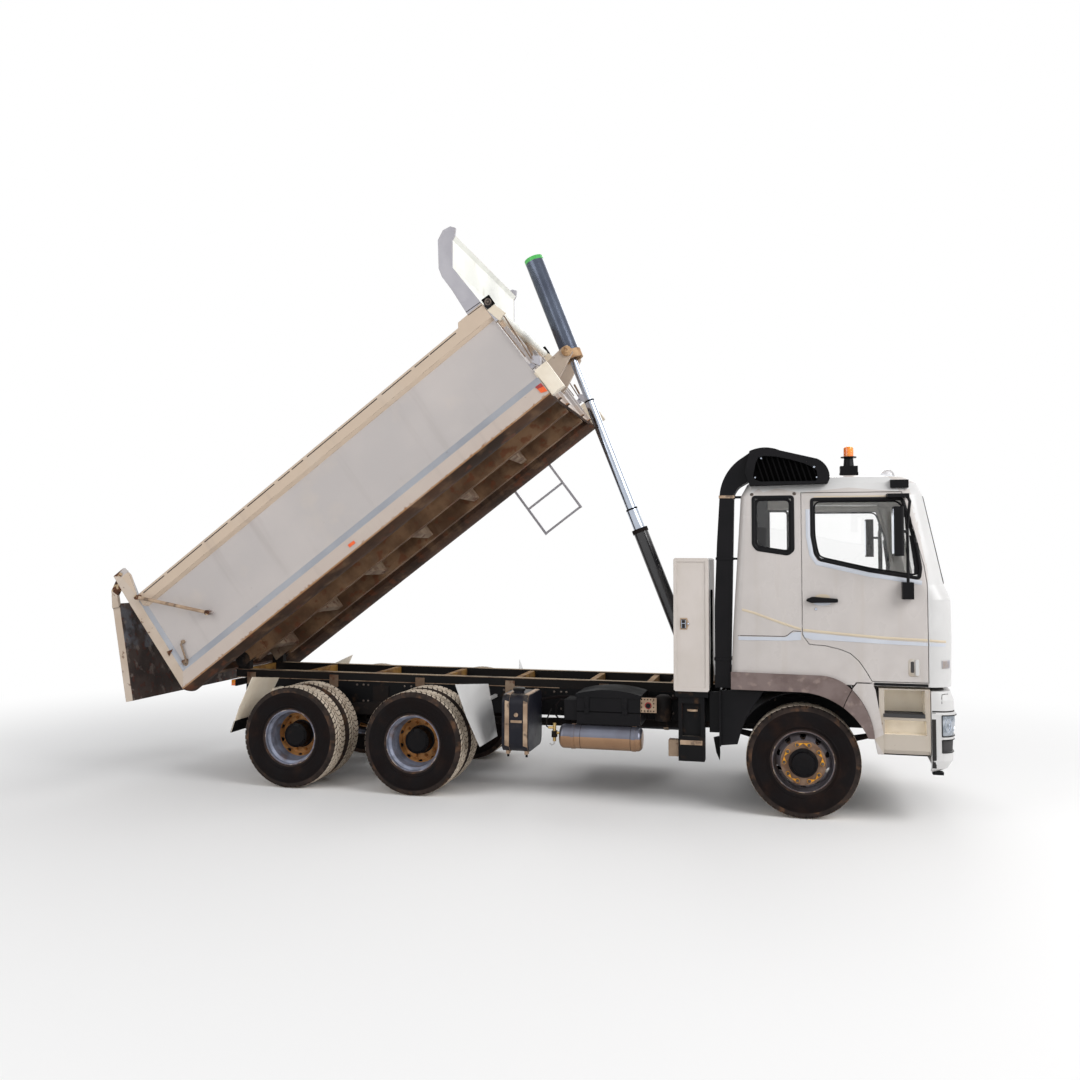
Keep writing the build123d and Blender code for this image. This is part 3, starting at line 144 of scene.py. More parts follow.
def fill(node: bpy.types.Node, inputs: dict) -> None:
    """Give a node's inputs their values.

    Args:
        node: The node.
        inputs: Values or sockets for its inputs, by name or index.
    """
    for key, value in inputs.items():
        if isinstance(value, Socket):
            node.id_data.links.new(value, node.inputs[key])
        else:
            node.inputs[key].default_value = value


def add_node(tree: bpy.types.NodeTree, kind: str, inputs: dict, **settings: object) -> bpy.types.Node:
    """Add a shader node to a tree.

    Args:
        tree: The tree to add to.
        kind: Blender's node type after its ShaderNode prefix.
        inputs: Values or sockets for its inputs, by name or index.
        **settings: Properties of the node.

    Returns:
        The new node.
    """
    made = tree.nodes.new("ShaderNode" + kind)
    for key, value in settings.items():
        setattr(made, key, value)
    fill(made, inputs)
    return made


class Where(Enum):
    """Where a layer of dirt, wear or painted light lies on a surface."""

    PATCHES = "patches"
    STREAKS = "streaks"
    EDGES = "edges"
    UPWARD = "upward"
    NEAR_GROUND = "near ground"
    BAND = "band"


@dataclass(frozen=True)
class Layer:
    """Dirt, rust, wear or painted light over a finish; it shows where its noise passes from low to high."""

    colour: Colour
    scale: float
    low: float
    high: float
    strength: float
    where: Where = Where.PATCHES
    roughness: float = 0.85
    base: float = 0.0
    top: float = 1.2


class Recipe:
    """Node tree of one material."""

    def __init__(self, name: str, turn: float, rise: float = 0.0) -> None:
        """Start the tree.

        Args:
            name: Name of the material.
            turn: Angle about Y, in degrees, of the axes in which its patterns lie.
            rise: Height of the part's origin in those axes.
        """
        self.material = bpy.data.materials.new(name)
        self.material.use_nodes = True
        self.tree = self.material.node_tree
        self.shader = self.tree.nodes["Principled BSDF"]
        place = self.node("TexCoord", {})
        self.normal = place.outputs["Normal"]
        turned = self.node("Mapping", {
            "Vector": place.outputs["Object"],
            "Rotation": (0, math.radians(turn), 0),
            "Location": (0, 0, rise),
        })
        self.position = turned.outputs["Vector"]

    def node(self, kind: str, inputs: dict, **settings: object) -> bpy.types.Node:
        """Add a node to this material's tree."""
        return add_node(self.tree, kind, inputs, **settings)

    def noise(self, scale: float, stretch: Place = (1, 1, 1), detail: float = 5.0) -> Socket:
        """Noise in the pattern's axes.

        Args:
            scale: How fine it is.
            stretch: Factors along the axes; it is drawn out where one is under one.
            detail: How many finer levels it has.

        Returns:
            A value from 0 to 1.
        """
        spread = self.node("Mapping", {"Vector": self.position, "Scale": stretch})
        made = self.node("TexNoise", {"Vector": spread.outputs[0], "Scale": scale, "Detail": detail})
        return made.outputs[0]

    def ramp(self, value: Socket, low: float, high: float, top: float = 1.0) -> Socket:
        """Smooth step of a value from 0 at low to top at high."""
        inputs = {0: value, 1: low, 2: high, 3: 0.0, 4: top}
        return self.node("MapRange", inputs, interpolation_type="SMOOTHSTEP").outputs[0]

    def times(self, first: Socket, second: Socket) -> Socket:
        """Product of two values."""
        return self.node("Math", {0: first, 1: second}, operation="MULTIPLY").outputs[0]

    def mix(self, share: Socket, first: object, second: object) -> Socket:
        """Colour between two colours."""
        return self.node("Mix", {0: share, 6: first, 7: second}, data_type="RGBA").outputs[2]

    def blend(self, share: Socket, first: object, second: object) -> Socket:
        """Number between two numbers."""
        return self.node("Mix", {0: share, 2: first, 3: second}, data_type="FLOAT").outputs[0]

    def part_of(self, vector: Socket, axis: int) -> Socket:
        """One coordinate of a vector."""
        return self.node("SeparateXYZ", {0: vector}).outputs[axis]

    def edge(self, radius: float) -> Socket:
        """How sharply a surface turns.

        Args:
            radius: Distance within which it is judged.

        Returns:
            A value that is 0 on a flat face.
        """
        soft = self.node("Bevel", {"Radius": radius}, samples=4)
        plain = self.node("NewGeometry", {})
        both = {0: soft.outputs[0], 1: plain.outputs["Normal"]}
        same = self.node("VectorMath", both, operation="DOT_PRODUCT")
        return self.node("Math", {0: 1.0, 1: same.outputs["Value"]}, operation="SUBTRACT").outputs[0]

    def mask(self, layer: Layer) -> Socket:
        """Share of a layer at each point.

        Args:
            layer: The layer to place.

        Returns:
            A value from 0 to the layer's strength.
        """
        stretch = (1.0, 1.0, 0.07) if layer.where is Where.STREAKS else (1.0, 1.0, 1.0)
        share = self.ramp(self.noise(layer.scale, stretch), layer.low, layer.high, layer.strength)
        if layer.where is Where.EDGES:
            return self.times(share, self.ramp(self.edge(0.006), 0.02, 0.12))
        if layer.where is Where.UPWARD:
            return self.times(share, self.ramp(self.part_of(self.normal, 2), 0.15, 0.85))
        if layer.where is Where.BAND:
            blur = 0.006
            above = self.ramp(self.part_of(self.position, 2), layer.base, layer.base + blur)
            below = self.ramp(self.part_of(self.position, 2), layer.top, layer.top - blur)
            return self.times(share, self.times(above, below))
        if layer.where is Where.NEAR_GROUND:
            return self.times(share, self.ramp(self.part_of(self.position, 2), layer.top, 0.2 * layer.top))
        return share


@dataclass(frozen=True)
class Finish:
    """A finish: its colours, its gloss and the layers of dirt, wear and painted light over them."""

    name: str
    colour: Colour
    shade: Colour
    slot: str
    roughness: float = 0.5
    metallic: float = 0.0
    patch: float = 3.0
    layers: tuple[Layer, ...] = ()
    grain: float = 300.0
    relief: float = 0.0004
    dents: float = 0.0
    coat: float = 0.0
    soft: float = 0.0
    turn: float = 0.0
    rise: float = 0.0
    specular: float = 0.5

    def material(self) -> bpy.types.Material:
        """The finish as a material, made once."""
        return finish_material(self)

    def draw(self) -> bpy.types.Material:
        """Build the finish's node tree.

        Returns:
            The new material.
        """
        recipe = Recipe(self.name, self.turn, self.rise)
        share = recipe.ramp(recipe.noise(self.patch), 0.35, 0.65)
        colour = recipe.mix(share, linear(self.colour), linear(self.shade))
        rough = recipe.blend(share, self.roughness, min(1.0, self.roughness * 1.25))
        metal = self.metallic
        for layer in self.layers:
            lies = recipe.mask(layer)
            colour = recipe.mix(lies, colour, linear(layer.colour))
            rough = recipe.blend(lies, rough, layer.roughness)
            if self.metallic:
                metal = recipe.blend(lies, metal, 0.0)
        fill(recipe.shader, {
            "Base Color": colour,
            "Roughness": rough,
            "Metallic": metal,
            "Coat Weight": self.coat,
            "Coat Roughness": 0.12,
            "Specular IOR Level": self.specular,
        })
        self.roughen(recipe)
        return recipe.material

    def roughen(self, recipe: Recipe) -> None:
        """Give the shader its grain, dents and softened edges.

        Args:
            recipe: The node tree to finish.
        """
        bump = recipe.node("Bump", {"Height": recipe.noise(self.grain, detail=3.0), "Distance": self.relief})
        if self.soft:
            edge = recipe.node("Bevel", {"Radius": self.soft}, samples=4)
            fill(bump, {"Normal": edge.outputs[0]})
        if self.dents:
            wave = recipe.noise(2.6, detail=1.5)
            bump = recipe.node("Bump", {"Height": wave, "Distance": self.dents, "Normal": bump.outputs[0]})
        fill(recipe.shader, {"Normal": bump.outputs[0]})


@dataclass(frozen=True)
class Glass(Finish):
    """Clear or tinted glass with a thin film of dust."""

    def draw(self) -> bpy.types.Material:
        """Build the glass.

        Returns:
            The new material.
        """
        recipe = Recipe(self.name, self.turn)
        film = recipe.ramp(recipe.noise(self.patch), 0.4, 0.75, 0.5)
        rough = recipe.blend(film, self.roughness, self.roughness + 0.12)
        fill(recipe.shader, {
            "Base Color": recipe.mix(film, linear(self.colour), linear(self.shade)),
            "Roughness": rough,
            "Transmission Weight": 1.0,
            "IOR": 1.45,
        })
        return recipe.material


@cache
def finish_material(finish: Finish) -> bpy.types.Material:
    """Material of a finish, the same one each time."""
    return finish.draw()


DUST = (0.66, 0.6, 0.52)
RED_DUST = (0.5, 0.36, 0.24)
RUST = (0.34, 0.17, 0.08)

CAB_PAINT = Finish(
    "cab_paint", (0.765, 0.74, 0.725), (0.74, 0.715, 0.7), "white_paint", roughness=0.26, coat=0.2,
    specular=0.35, soft=0.006, relief=0.00003, layers=(
        Layer(DUST, 5.0, 0.35, 0.75, 0.3, Where.UPWARD),
        Layer(RED_DUST, 9.0, 0.42, 0.8, 0.3, Where.NEAR_GROUND, top=1.7),
        Layer(DUST, 9.0, 0.52, 0.75, 0.15, Where.STREAKS),
    ))
TRAY_PAINT = Finish(
    "tray_paint", (0.745, 0.715, 0.7), (0.715, 0.69, 0.68), "cream_paint", roughness=0.48, soft=0.006,
    patch=1.1, relief=0.0002, dents=0.01, turn=TRAY_TILT, rise=TRAY_RISE, layers=(
        Layer((0.8, 0.715, 0.625), 3.0, 0.1, 0.3, 0.85, Where.BAND, base=0.964, top=1.4),
        Layer((0.76, 0.7, 0.655), 3.0, 0.1, 0.3, 0.8, Where.BAND, base=0.0, top=0.152),
        Layer((0.6, 0.42, 0.23), 22.0, 0.18, 0.36, 0.9, Where.BAND, base=-0.02, top=0.02),
        Layer((0.55, 0.36, 0.2), 26.0, 0.56, 0.64, 0.8, Where.BAND, base=0.0, top=0.034),
        Layer((0.6, 0.56, 0.54), 7.0, 0.55, 0.78, 0.25, Where.STREAKS),
        Layer((0.8, 0.75, 0.7), 2.0, 0.55, 0.72, 0.3),
        Layer(RUST, 34.0, 0.755, 0.775, 0.7),
        Layer(RUST, 7.0, 0.46, 0.56, 0.9, Where.EDGES),
    ))
# Painted sky reflection: pale bluish grey on tray faces turned to the sky.
TRAY_SKY_REFLECTION = Finish(
    "sky_lit_tray", (0.65, 0.66, 0.685), (0.6, 0.61, 0.64), "cream_paint", patch=2.0, turn=TRAY_TILT,
    layers=(
        Layer((0.42, 0.36, 0.3), 30.0, 0.7, 0.74, 0.6),
    ))
POST_CREAM = Finish(
    "post_cream", (0.78, 0.72, 0.66), (0.74, 0.67, 0.6), "cream_paint", roughness=0.55, soft=0.005,
    turn=TRAY_TILT, layers=(
        Layer(RUST, 14.0, 0.64, 0.7, 0.75),
        Layer(RUST, 8.0, 0.42, 0.52, 1.0, Where.EDGES),
    ))
RUSTED = Finish(
    "rusted_steel", (0.36, 0.2, 0.1), (0.22, 0.13, 0.08), "dark_trim", roughness=0.85, patch=16.0,
    grain=110.0, relief=0.002, layers=(
        Layer((0.78, 0.68, 0.55), 15.0, 0.55, 0.62, 0.8),
    ))
TRAY_INSIDE = Finish(
    "scraped_steel", (0.5, 0.44, 0.39), (0.36, 0.29, 0.24), "cream_paint", roughness=0.55, patch=1.8,
    grain=60.0, relief=0.002, dents=0.012, turn=TRAY_TILT, layers=(
        Layer((0.66, 0.63, 0.6), 4.0, 0.5, 0.66, 0.7, Where.STREAKS),
        Layer(RUST, 7.0, 0.54, 0.66, 0.7),
    ))
HEAD_PAINT = Finish(
    "head_paint", (0.7, 0.69, 0.71), (0.66, 0.65, 0.675), "cream_paint", soft=0.005, dents=0.004,
    turn=TRAY_TILT, layers=(
        Layer((0.55, 0.52, 0.52), 9.0, 0.55, 0.78, 0.25, Where.STREAKS),
        Layer((0.72, 0.6, 0.45), 9.0, 0.5, 0.58, 0.8, Where.EDGES),
    ))
# The head sheet's own white, pushed brighter as painted sunlight.
SUNLIT_HEAD_WHITE = Finish(
    "head_white", (0.93, 0.93, 0.9), (0.9, 0.9, 0.87), "cream_paint", soft=0.004, patch=2.0, turn=TRAY_TILT,
    layers=(
        Layer((0.75, 0.62, 0.48), 9.0, 0.45, 0.55, 0.9, Where.EDGES),
        Layer((0.8, 0.76, 0.7), 6.0, 0.55, 0.75, 0.4, Where.STREAKS),
    ))
SEAM_DARK = Finish("seam_dark", (0.1, 0.09, 0.09), (0.16, 0.12, 0.1), "dark_trim", roughness=0.8)
RUSTY_STEEL = Finish(
    "rusty_steel", (0.5, 0.38, 0.27), (0.33, 0.23, 0.15), "dark_trim", roughness=0.8, grain=90.0,
    relief=0.0015, soft=0.004, turn=TRAY_TILT, layers=(
        Layer((0.5, 0.42, 0.34), 5.0, 0.52, 0.72, 0.5, Where.STREAKS),
        Layer((0.4, 0.2, 0.08), 9.0, 0.55, 0.66, 0.7),
    ))
UNDERSIDE = Finish(
    "underside", (0.28, 0.18, 0.11), (0.17, 0.11, 0.07), "cream_paint", roughness=0.85, patch=2.0,
    grain=80.0, relief=0.0015, turn=TRAY_TILT, layers=(
        Layer((0.46, 0.35, 0.25), 4.0, 0.5, 0.7, 0.6, Where.STREAKS),
        Layer((0.38, 0.19, 0.07), 6.0, 0.55, 0.68, 0.7),
    ))
GATE_STEEL = Finish(
    "gate_steel", (0.25, 0.19, 0.165), (0.15, 0.1, 0.085), "cream_paint", roughness=0.7, patch=4.0,
    grain=70.0, relief=0.003, dents=0.008, turn=GATE_TILT, rise=GATE_RISE, layers=(
        # Painted sheen: bluish grey over the gate's upper part.
        Layer((0.4, 0.41, 0.44), 6.0, 0.42, 0.6, 0.75, Where.BAND, base=0.62, top=1.2),
        Layer((0.52, 0.47, 0.44), 10.0, 0.56, 0.66, 0.55),
        Layer((0.3, 0.12, 0.06), 16.0, 0.55, 0.64, 0.7),
    ))
CHASSIS_PAINT = Finish(
    "chassis_paint", (0.045, 0.045, 0.052), (0.07, 0.066, 0.07), "black_frame", soft=0.004, specular=0.12,
    layers=(
        Layer((0.45, 0.42, 0.38), 5.0, 0.35, 0.75, 0.5, Where.UPWARD),
        Layer(RED_DUST, 7.0, 0.6, 0.8, 0.25),
        Layer(RUST, 12.0, 0.55, 0.65, 0.5, Where.EDGES),
    ))
SUBFRAME_PAINT = Finish(
    "subframe_paint", (0.07, 0.065, 0.065), (0.11, 0.095, 0.09), "black_frame", roughness=0.6, soft=0.004,
    specular=0.15, layers=(
        # Dust and painted sunlit highlight: pale cream on faces turned up.
        Layer((0.74, 0.66, 0.56), 4.0, 0.2, 0.5, 0.85, Where.UPWARD),
        Layer(RUST, 9.0, 0.5, 0.6, 0.7, Where.EDGES),
    ))
BLACK_PLASTIC = Finish(
    "black_plastic", (0.04, 0.04, 0.05), (0.065, 0.06, 0.07), "black_plastic", roughness=0.4, soft=0.006,
    specular=0.14, grain=700.0, relief=0.0002, layers=(
        Layer(DUST, 6.0, 0.5, 0.8, 0.25, Where.UPWARD),
    ))
DEEP_BLACK = Finish(
    "deep_black", (0.02, 0.018, 0.022), (0.03, 0.027, 0.03), "black_plastic", roughness=0.7, specular=0.08)
WORN_PLASTIC = Finish(
    "worn_plastic", (0.46, 0.4, 0.385), (0.395, 0.335, 0.32), "grey_plastic", roughness=0.7, patch=6.0,
    soft=0.008, grain=500.0, layers=(
        Layer((0.6, 0.53, 0.5), 14.0, 0.54, 0.7, 0.5),
        Layer((0.36, 0.3, 0.29), 5.0, 0.3, 0.7, 0.8, Where.NEAR_GROUND, top=1.25),
    ))
RUBBER = Finish(
    "rubber", (0.062, 0.048, 0.052), (0.085, 0.062, 0.06), "tyre_rubber", roughness=0.72, patch=5.0,
    grain=420.0, relief=0.0005, specular=0.12, layers=(
        Layer((0.26, 0.17, 0.12), 4.0, 0.5, 0.85, 0.4),
    ))
# Dust on the tread's block tops, pushed brighter as painted sunlight.
DUSTY_SUNLIT_RUBBER = Finish(
    "dusty_rubber", (0.8, 0.745, 0.675), (0.7, 0.64, 0.57), "tyre_rubber", roughness=0.9, patch=9.0,
    grain=200.0, relief=0.001, specular=0.2, layers=(
        Layer((0.2, 0.17, 0.16), 9.0, 0.6, 0.75, 0.6),
    ))
SHOULDER_RUBBER = Finish(
    "shoulder_rubber", (0.2, 0.155, 0.135), (0.14, 0.115, 0.105), "tyre_rubber", roughness=0.85, patch=8.0,
    relief=0.0008, specular=0.3, layers=(
        Layer((0.42, 0.3, 0.21), 9.0, 0.52, 0.72, 0.6),
    ))
RIM_STEEL = Finish(
    "rim_steel", (0.46, 0.44, 0.46), (0.36, 0.33, 0.33), "rim_steel", roughness=0.4, metallic=0.5,
    patch=6.0, layers=(
        Layer((0.44, 0.33, 0.25), 6.0, 0.54, 0.75, 0.55),
    ))
DARK_RIM = Finish(
    "dark_rim", (0.55, 0.57, 0.64), (0.42, 0.43, 0.48), "rim_steel", roughness=0.45, metallic=0.3,
    patch=9.0, layers=(
        Layer((0.42, 0.3, 0.2), 8.0, 0.52, 0.72, 0.6),
    ))
RUSTY_RIM = Finish(
    "rusty_rim", (0.5, 0.4, 0.32), (0.38, 0.28, 0.21), "rim_steel", roughness=0.6, patch=9.0, grain=160.0,
    relief=0.0005, layers=(
        Layer((0.36, 0.22, 0.12), 10.0, 0.52, 0.68, 0.6),
    ))
ORANGE_RIM = Finish(
    "orange_rim", (0.82, 0.6, 0.36), (0.66, 0.45, 0.24), "rim_steel", roughness=0.6, patch=9.0, grain=160.0,
    relief=0.0005, layers=(
        Layer((0.34, 0.2, 0.11), 12.0, 0.54, 0.7, 0.5),
    ))
RUSTY_NUT = Finish(
    "rusty_nut", (0.84, 0.56, 0.24), (0.6, 0.38, 0.18), "rim_steel", roughness=0.6, patch=45.0, grain=200.0)
STEEL_NUT = Finish(
    "steel_nut", (0.42, 0.38, 0.35), (0.3, 0.26, 0.24), "rim_steel", roughness=0.45, metallic=0.5,
    patch=40.0)
HUB_BLACK = Finish(
    "hub_black", (0.04, 0.035, 0.045), (0.06, 0.05, 0.055), "cast_black", roughness=0.4, patch=12.0,
    specular=0.12, layers=(
        Layer((0.26, 0.19, 0.15), 12.0, 0.6, 0.8, 0.4),
    ))
POINTER_YELLOW = Finish(
    "pointer_yellow", (0.93, 0.66, 0.08), (0.86, 0.56, 0.06), "amber_glass", roughness=0.45, patch=30.0)
CAST_STEEL = Finish(
    "cast_steel", (0.085, 0.075, 0.075), (0.13, 0.105, 0.095), "cast_black", roughness=0.7, patch=7.0,
    specular=0.15, grain=150.0, relief=0.001, soft=0.004, layers=(
        Layer((0.36, 0.28, 0.22), 8.0, 0.55, 0.75, 0.4),
    ))
CHROME = Finish(
    "chrome", (0.74, 0.77, 0.82), (0.7, 0.73, 0.78), "chrome", roughness=0.14, metallic=1.0, patch=5.0,
    relief=0.00001, layers=(
        Layer((0.42, 0.36, 0.31), 30.0, 0.64, 0.76, 0.3, Where.STREAKS, roughness=0.5),
    ))
# Painted sky reflection: steel grey for the air tank's faces turned up.
TANK_SKY_REFLECTION = Finish(
    "tank_steel", (0.44, 0.45, 0.5), (0.38, 0.38, 0.42), "polished_metal", roughness=0.3, metallic=0.7,
    relief=0.00003)
# Polished metal in warm brown as painted reflection of the ground, greyer on faces turned up.
TANK_GROUND_REFLECTION = Finish(
    "polished_tank", (0.62, 0.49, 0.38), (0.55, 0.42, 0.32), "polished_metal", roughness=0.3, metallic=0.7,
    relief=0.00003, layers=(
        Layer((0.44, 0.4, 0.4), 7.0, 0.35, 0.7, 0.5, Where.UPWARD),
    ))
HOIST_BLACK = Finish(
    "hoist_black", (0.11, 0.11, 0.125), (0.15, 0.15, 0.16), "black_frame", roughness=0.16, patch=4.0,
    coat=0.4, layers=(
        Layer((0.36, 0.34, 0.34), 16.0, 0.56, 0.76, 0.35, Where.STREAKS),
    ))
# The hoist cover's black drawn as light blue grey metal, a painted sheen.
COVER_PAINTED_SHEEN = Finish(
    "cover_blue", (0.34, 0.37, 0.43), (0.26, 0.28, 0.34), "black_frame", roughness=0.22, metallic=0.6,
    patch=2.0)
CAP_GREEN = Finish("cap_green", (0.32, 0.74, 0.36), (0.26, 0.66, 0.31), "tank_blue", roughness=0.4)
TAN_CASTING = Finish(
    "tan_casting", (0.76, 0.62, 0.46), (0.66, 0.5, 0.35), "tan_casting", roughness=0.6, patch=10.0,
    grain=200.0, relief=0.0006, soft=0.004, layers=(
        Layer((0.38, 0.22, 0.12), 16.0, 0.58, 0.66, 0.6),
    ))
TANK_BLUE = Finish(
    "tank_blue", (0.075, 0.08, 0.115), (0.105, 0.105, 0.135), "tank_blue", roughness=0.35, patch=4.0,
    specular=0.2, layers=(
        Layer(DUST, 5.0, 0.4, 0.75, 0.4, Where.UPWARD),
        Layer((0.3, 0.25, 0.23), 8.0, 0.6, 0.8, 0.3),
    ))
STRAP_BEIGE = Finish(
    "strap_beige", (0.7, 0.6, 0.5), (0.58, 0.48, 0.39), "tan_casting", roughness=0.55, patch=8.0, layers=(
        Layer((0.2, 0.16, 0.14), 12.0, 0.56, 0.66, 0.6),
    ))
SEAT_CLOTH = Finish(
    "seat_cloth", (0.16, 0.16, 0.18), (0.22, 0.21, 0.22), "seat_cloth", roughness=0.95, grain=900.0,
    relief=0.001, patch=14.0)
DASH_GREY = Finish(
    "dash_grey", (0.19, 0.185, 0.19), (0.24, 0.235, 0.235), "dark_trim", roughness=0.7, grain=800.0,
    soft=0.01)
LINING = Finish("cab_lining", (0.9, 0.89, 0.87), (0.85, 0.84, 0.82), "white_paint", roughness=0.9)
ENGINE_GREY = Finish(
    "engine_grey", (0.1, 0.095, 0.095), (0.075, 0.07, 0.07), "engine_grey", roughness=0.7, grain=60.0,
    relief=0.003, soft=0.01, layers=(
        Layer(DUST, 5.0, 0.4, 0.8, 0.4, Where.UPWARD),
    ))
# Cream paint of the rear guards and the cover's arms; also painted sunlight in the recess of the steps.
CREAM_AND_SUNLIT_PAINT = Finish(
    "guard_cream", (0.93, 0.89, 0.82), (0.88, 0.83, 0.75), "cream_paint", roughness=0.45, dents=0.004,
    layers=(
        Layer((0.6, 0.5, 0.4), 9.0, 0.45, 0.75, 0.6, Where.NEAR_GROUND, top=1.0),
        Layer(RUST, 12.0, 0.5, 0.6, 0.8, Where.EDGES),
    ))
LOCKER_PAINT = Finish(
    "locker_paint", (0.8, 0.765, 0.74), (0.775, 0.74, 0.71), "white_paint", roughness=0.4, coat=0.2,
    soft=0.005, relief=0.0001, layers=(
        Layer(DUST, 8.0, 0.52, 0.75, 0.25, Where.STREAKS),
    ))
# White paint of the bumper; also painted sunlight on the cab's front and roof edge and on the fore guards.
WHITE_AND_SUNLIT_PAINT = Finish(
    "bumper_paint", (0.8, 0.795, 0.79), (0.775, 0.77, 0.765), "white_paint", roughness=0.3, coat=0.3,
    soft=0.006, relief=0.0001, layers=(
        Layer(RED_DUST, 10.0, 0.5, 0.8, 0.35, Where.NEAR_GROUND, top=0.9),
    ))
LAMP_REFLECTOR = Finish(
    "lamp_reflector", (0.72, 0.74, 0.77), (0.52, 0.55, 0.58), "lamp_glass", roughness=0.18, metallic=0.8,
    patch=16.0)
MIRROR_GLASS = Finish(
    "mirror_glass", (0.8, 0.83, 0.88), (0.76, 0.8, 0.85), "chrome", roughness=0.04, metallic=1.0)
# Painted sunlit highlight: beige lines on the cab's creases and edges.
SUNLIT_HIGHLIGHT = Finish("crease_beige", (0.8, 0.745, 0.65), (0.79, 0.73, 0.64), "white_paint")
# Painted sky reflection: pale blue on the cab's band, window moulding and handle recess.
SKY_REFLECTION_PAINT = Finish("band_blue", (0.775, 0.79, 0.82), (0.75, 0.765, 0.8), "white_paint", roughness=0.35)
# Paint of the step box; also the painted shade on the plate of the door's grab recess.
STEP_PAINT_AND_SHADE = Finish(
    "step_paint", (0.72, 0.68, 0.63), (0.67, 0.62, 0.56), "white_paint", roughness=0.45, coat=0.2,
    soft=0.006, patch=2.4, layers=(
        Layer((0.8, 0.79, 0.78), 3.0, 0.52, 0.66, 0.6),
        Layer(RUST, 17.0, 0.69, 0.71, 0.8),
    ))
MEMBER_BEIGE = Finish(
    "member_beige", (0.56, 0.48, 0.4), (0.44, 0.35, 0.28), "dark_trim", roughness=0.8, patch=5.0,
    grain=90.0, relief=0.0015, turn=TRAY_TILT, layers=(
        Layer(RUST, 12.0, 0.56, 0.66, 0.7),
    ))
TIE_YELLOW = Finish(
    "tie_yellow", (0.58, 0.42, 0.16), (0.42, 0.29, 0.13), "dark_trim", roughness=0.7, patch=6.0, layers=(
        Layer(RUST, 12.0, 0.54, 0.66, 0.7),
    ))
MARKER_ORANGE = Finish(
    "marker_orange", (0.93, 0.38, 0.1), (0.88, 0.33, 0.08), "amber_glass", roughness=0.3, patch=40.0)
BRASS = Finish(
    "brass", (0.8, 0.68, 0.45), (0.7, 0.58, 0.38), "polished_metal", roughness=0.35, metallic=0.7)
WINDOW_GLASS = Glass("window_glass", (1.0, 1.0, 1.0), (0.98, 0.985, 0.98), "window_glass", roughness=0.0)
LAMP_GLASS = Glass(
    "lamp_glass", (0.96, 0.97, 0.99), (0.9, 0.91, 0.93), "lamp_glass", roughness=0.03, patch=20.0)
AMBER_GLASS = Finish(
    "amber_glass", (0.99, 0.46, 0.06), (0.98, 0.6, 0.1), "amber_glass", roughness=0.12, coat=0.8,
    patch=12.0)
RED_GLASS = Finish(
    "red_glass", (0.66, 0.06, 0.05), (0.58, 0.04, 0.04), "amber_glass", roughness=0.15, coat=0.6,
    patch=30.0)


Rule = Callable[[Vector, Vector], Finish]


def dress(node: str, *finishes: Finish, choose: Rule | None = None, axes: Matrix = CHASSIS_AXES) -> None:
    """Give a CAD node its finishes.

    Args:
        node: Name of the node.
        *finishes: Finishes for its material slots.
        choose: Rule that finds a face's finish from its centre and normal, where there are several.
        axes: Axes in which that centre and normal are given.
    """
    piece = frame["nodes"][node]
    mesh = piece.data
    mesh.materials.clear()
    for finish in finishes:
        mesh.materials.append(finish.material())
    names = [finish.name for finish in finishes]
    inward = axes.inverted()
    turn = inward.to_3x3()
    for face in mesh.polygons:
        finish = choose(inward @ face.center, turn @ face.normal) if choose else finishes[0]
        face.material_index = names.index(finish.name)
    log.info("%s dressed in %s", node, ", ".join(finish.name for finish in finishes))


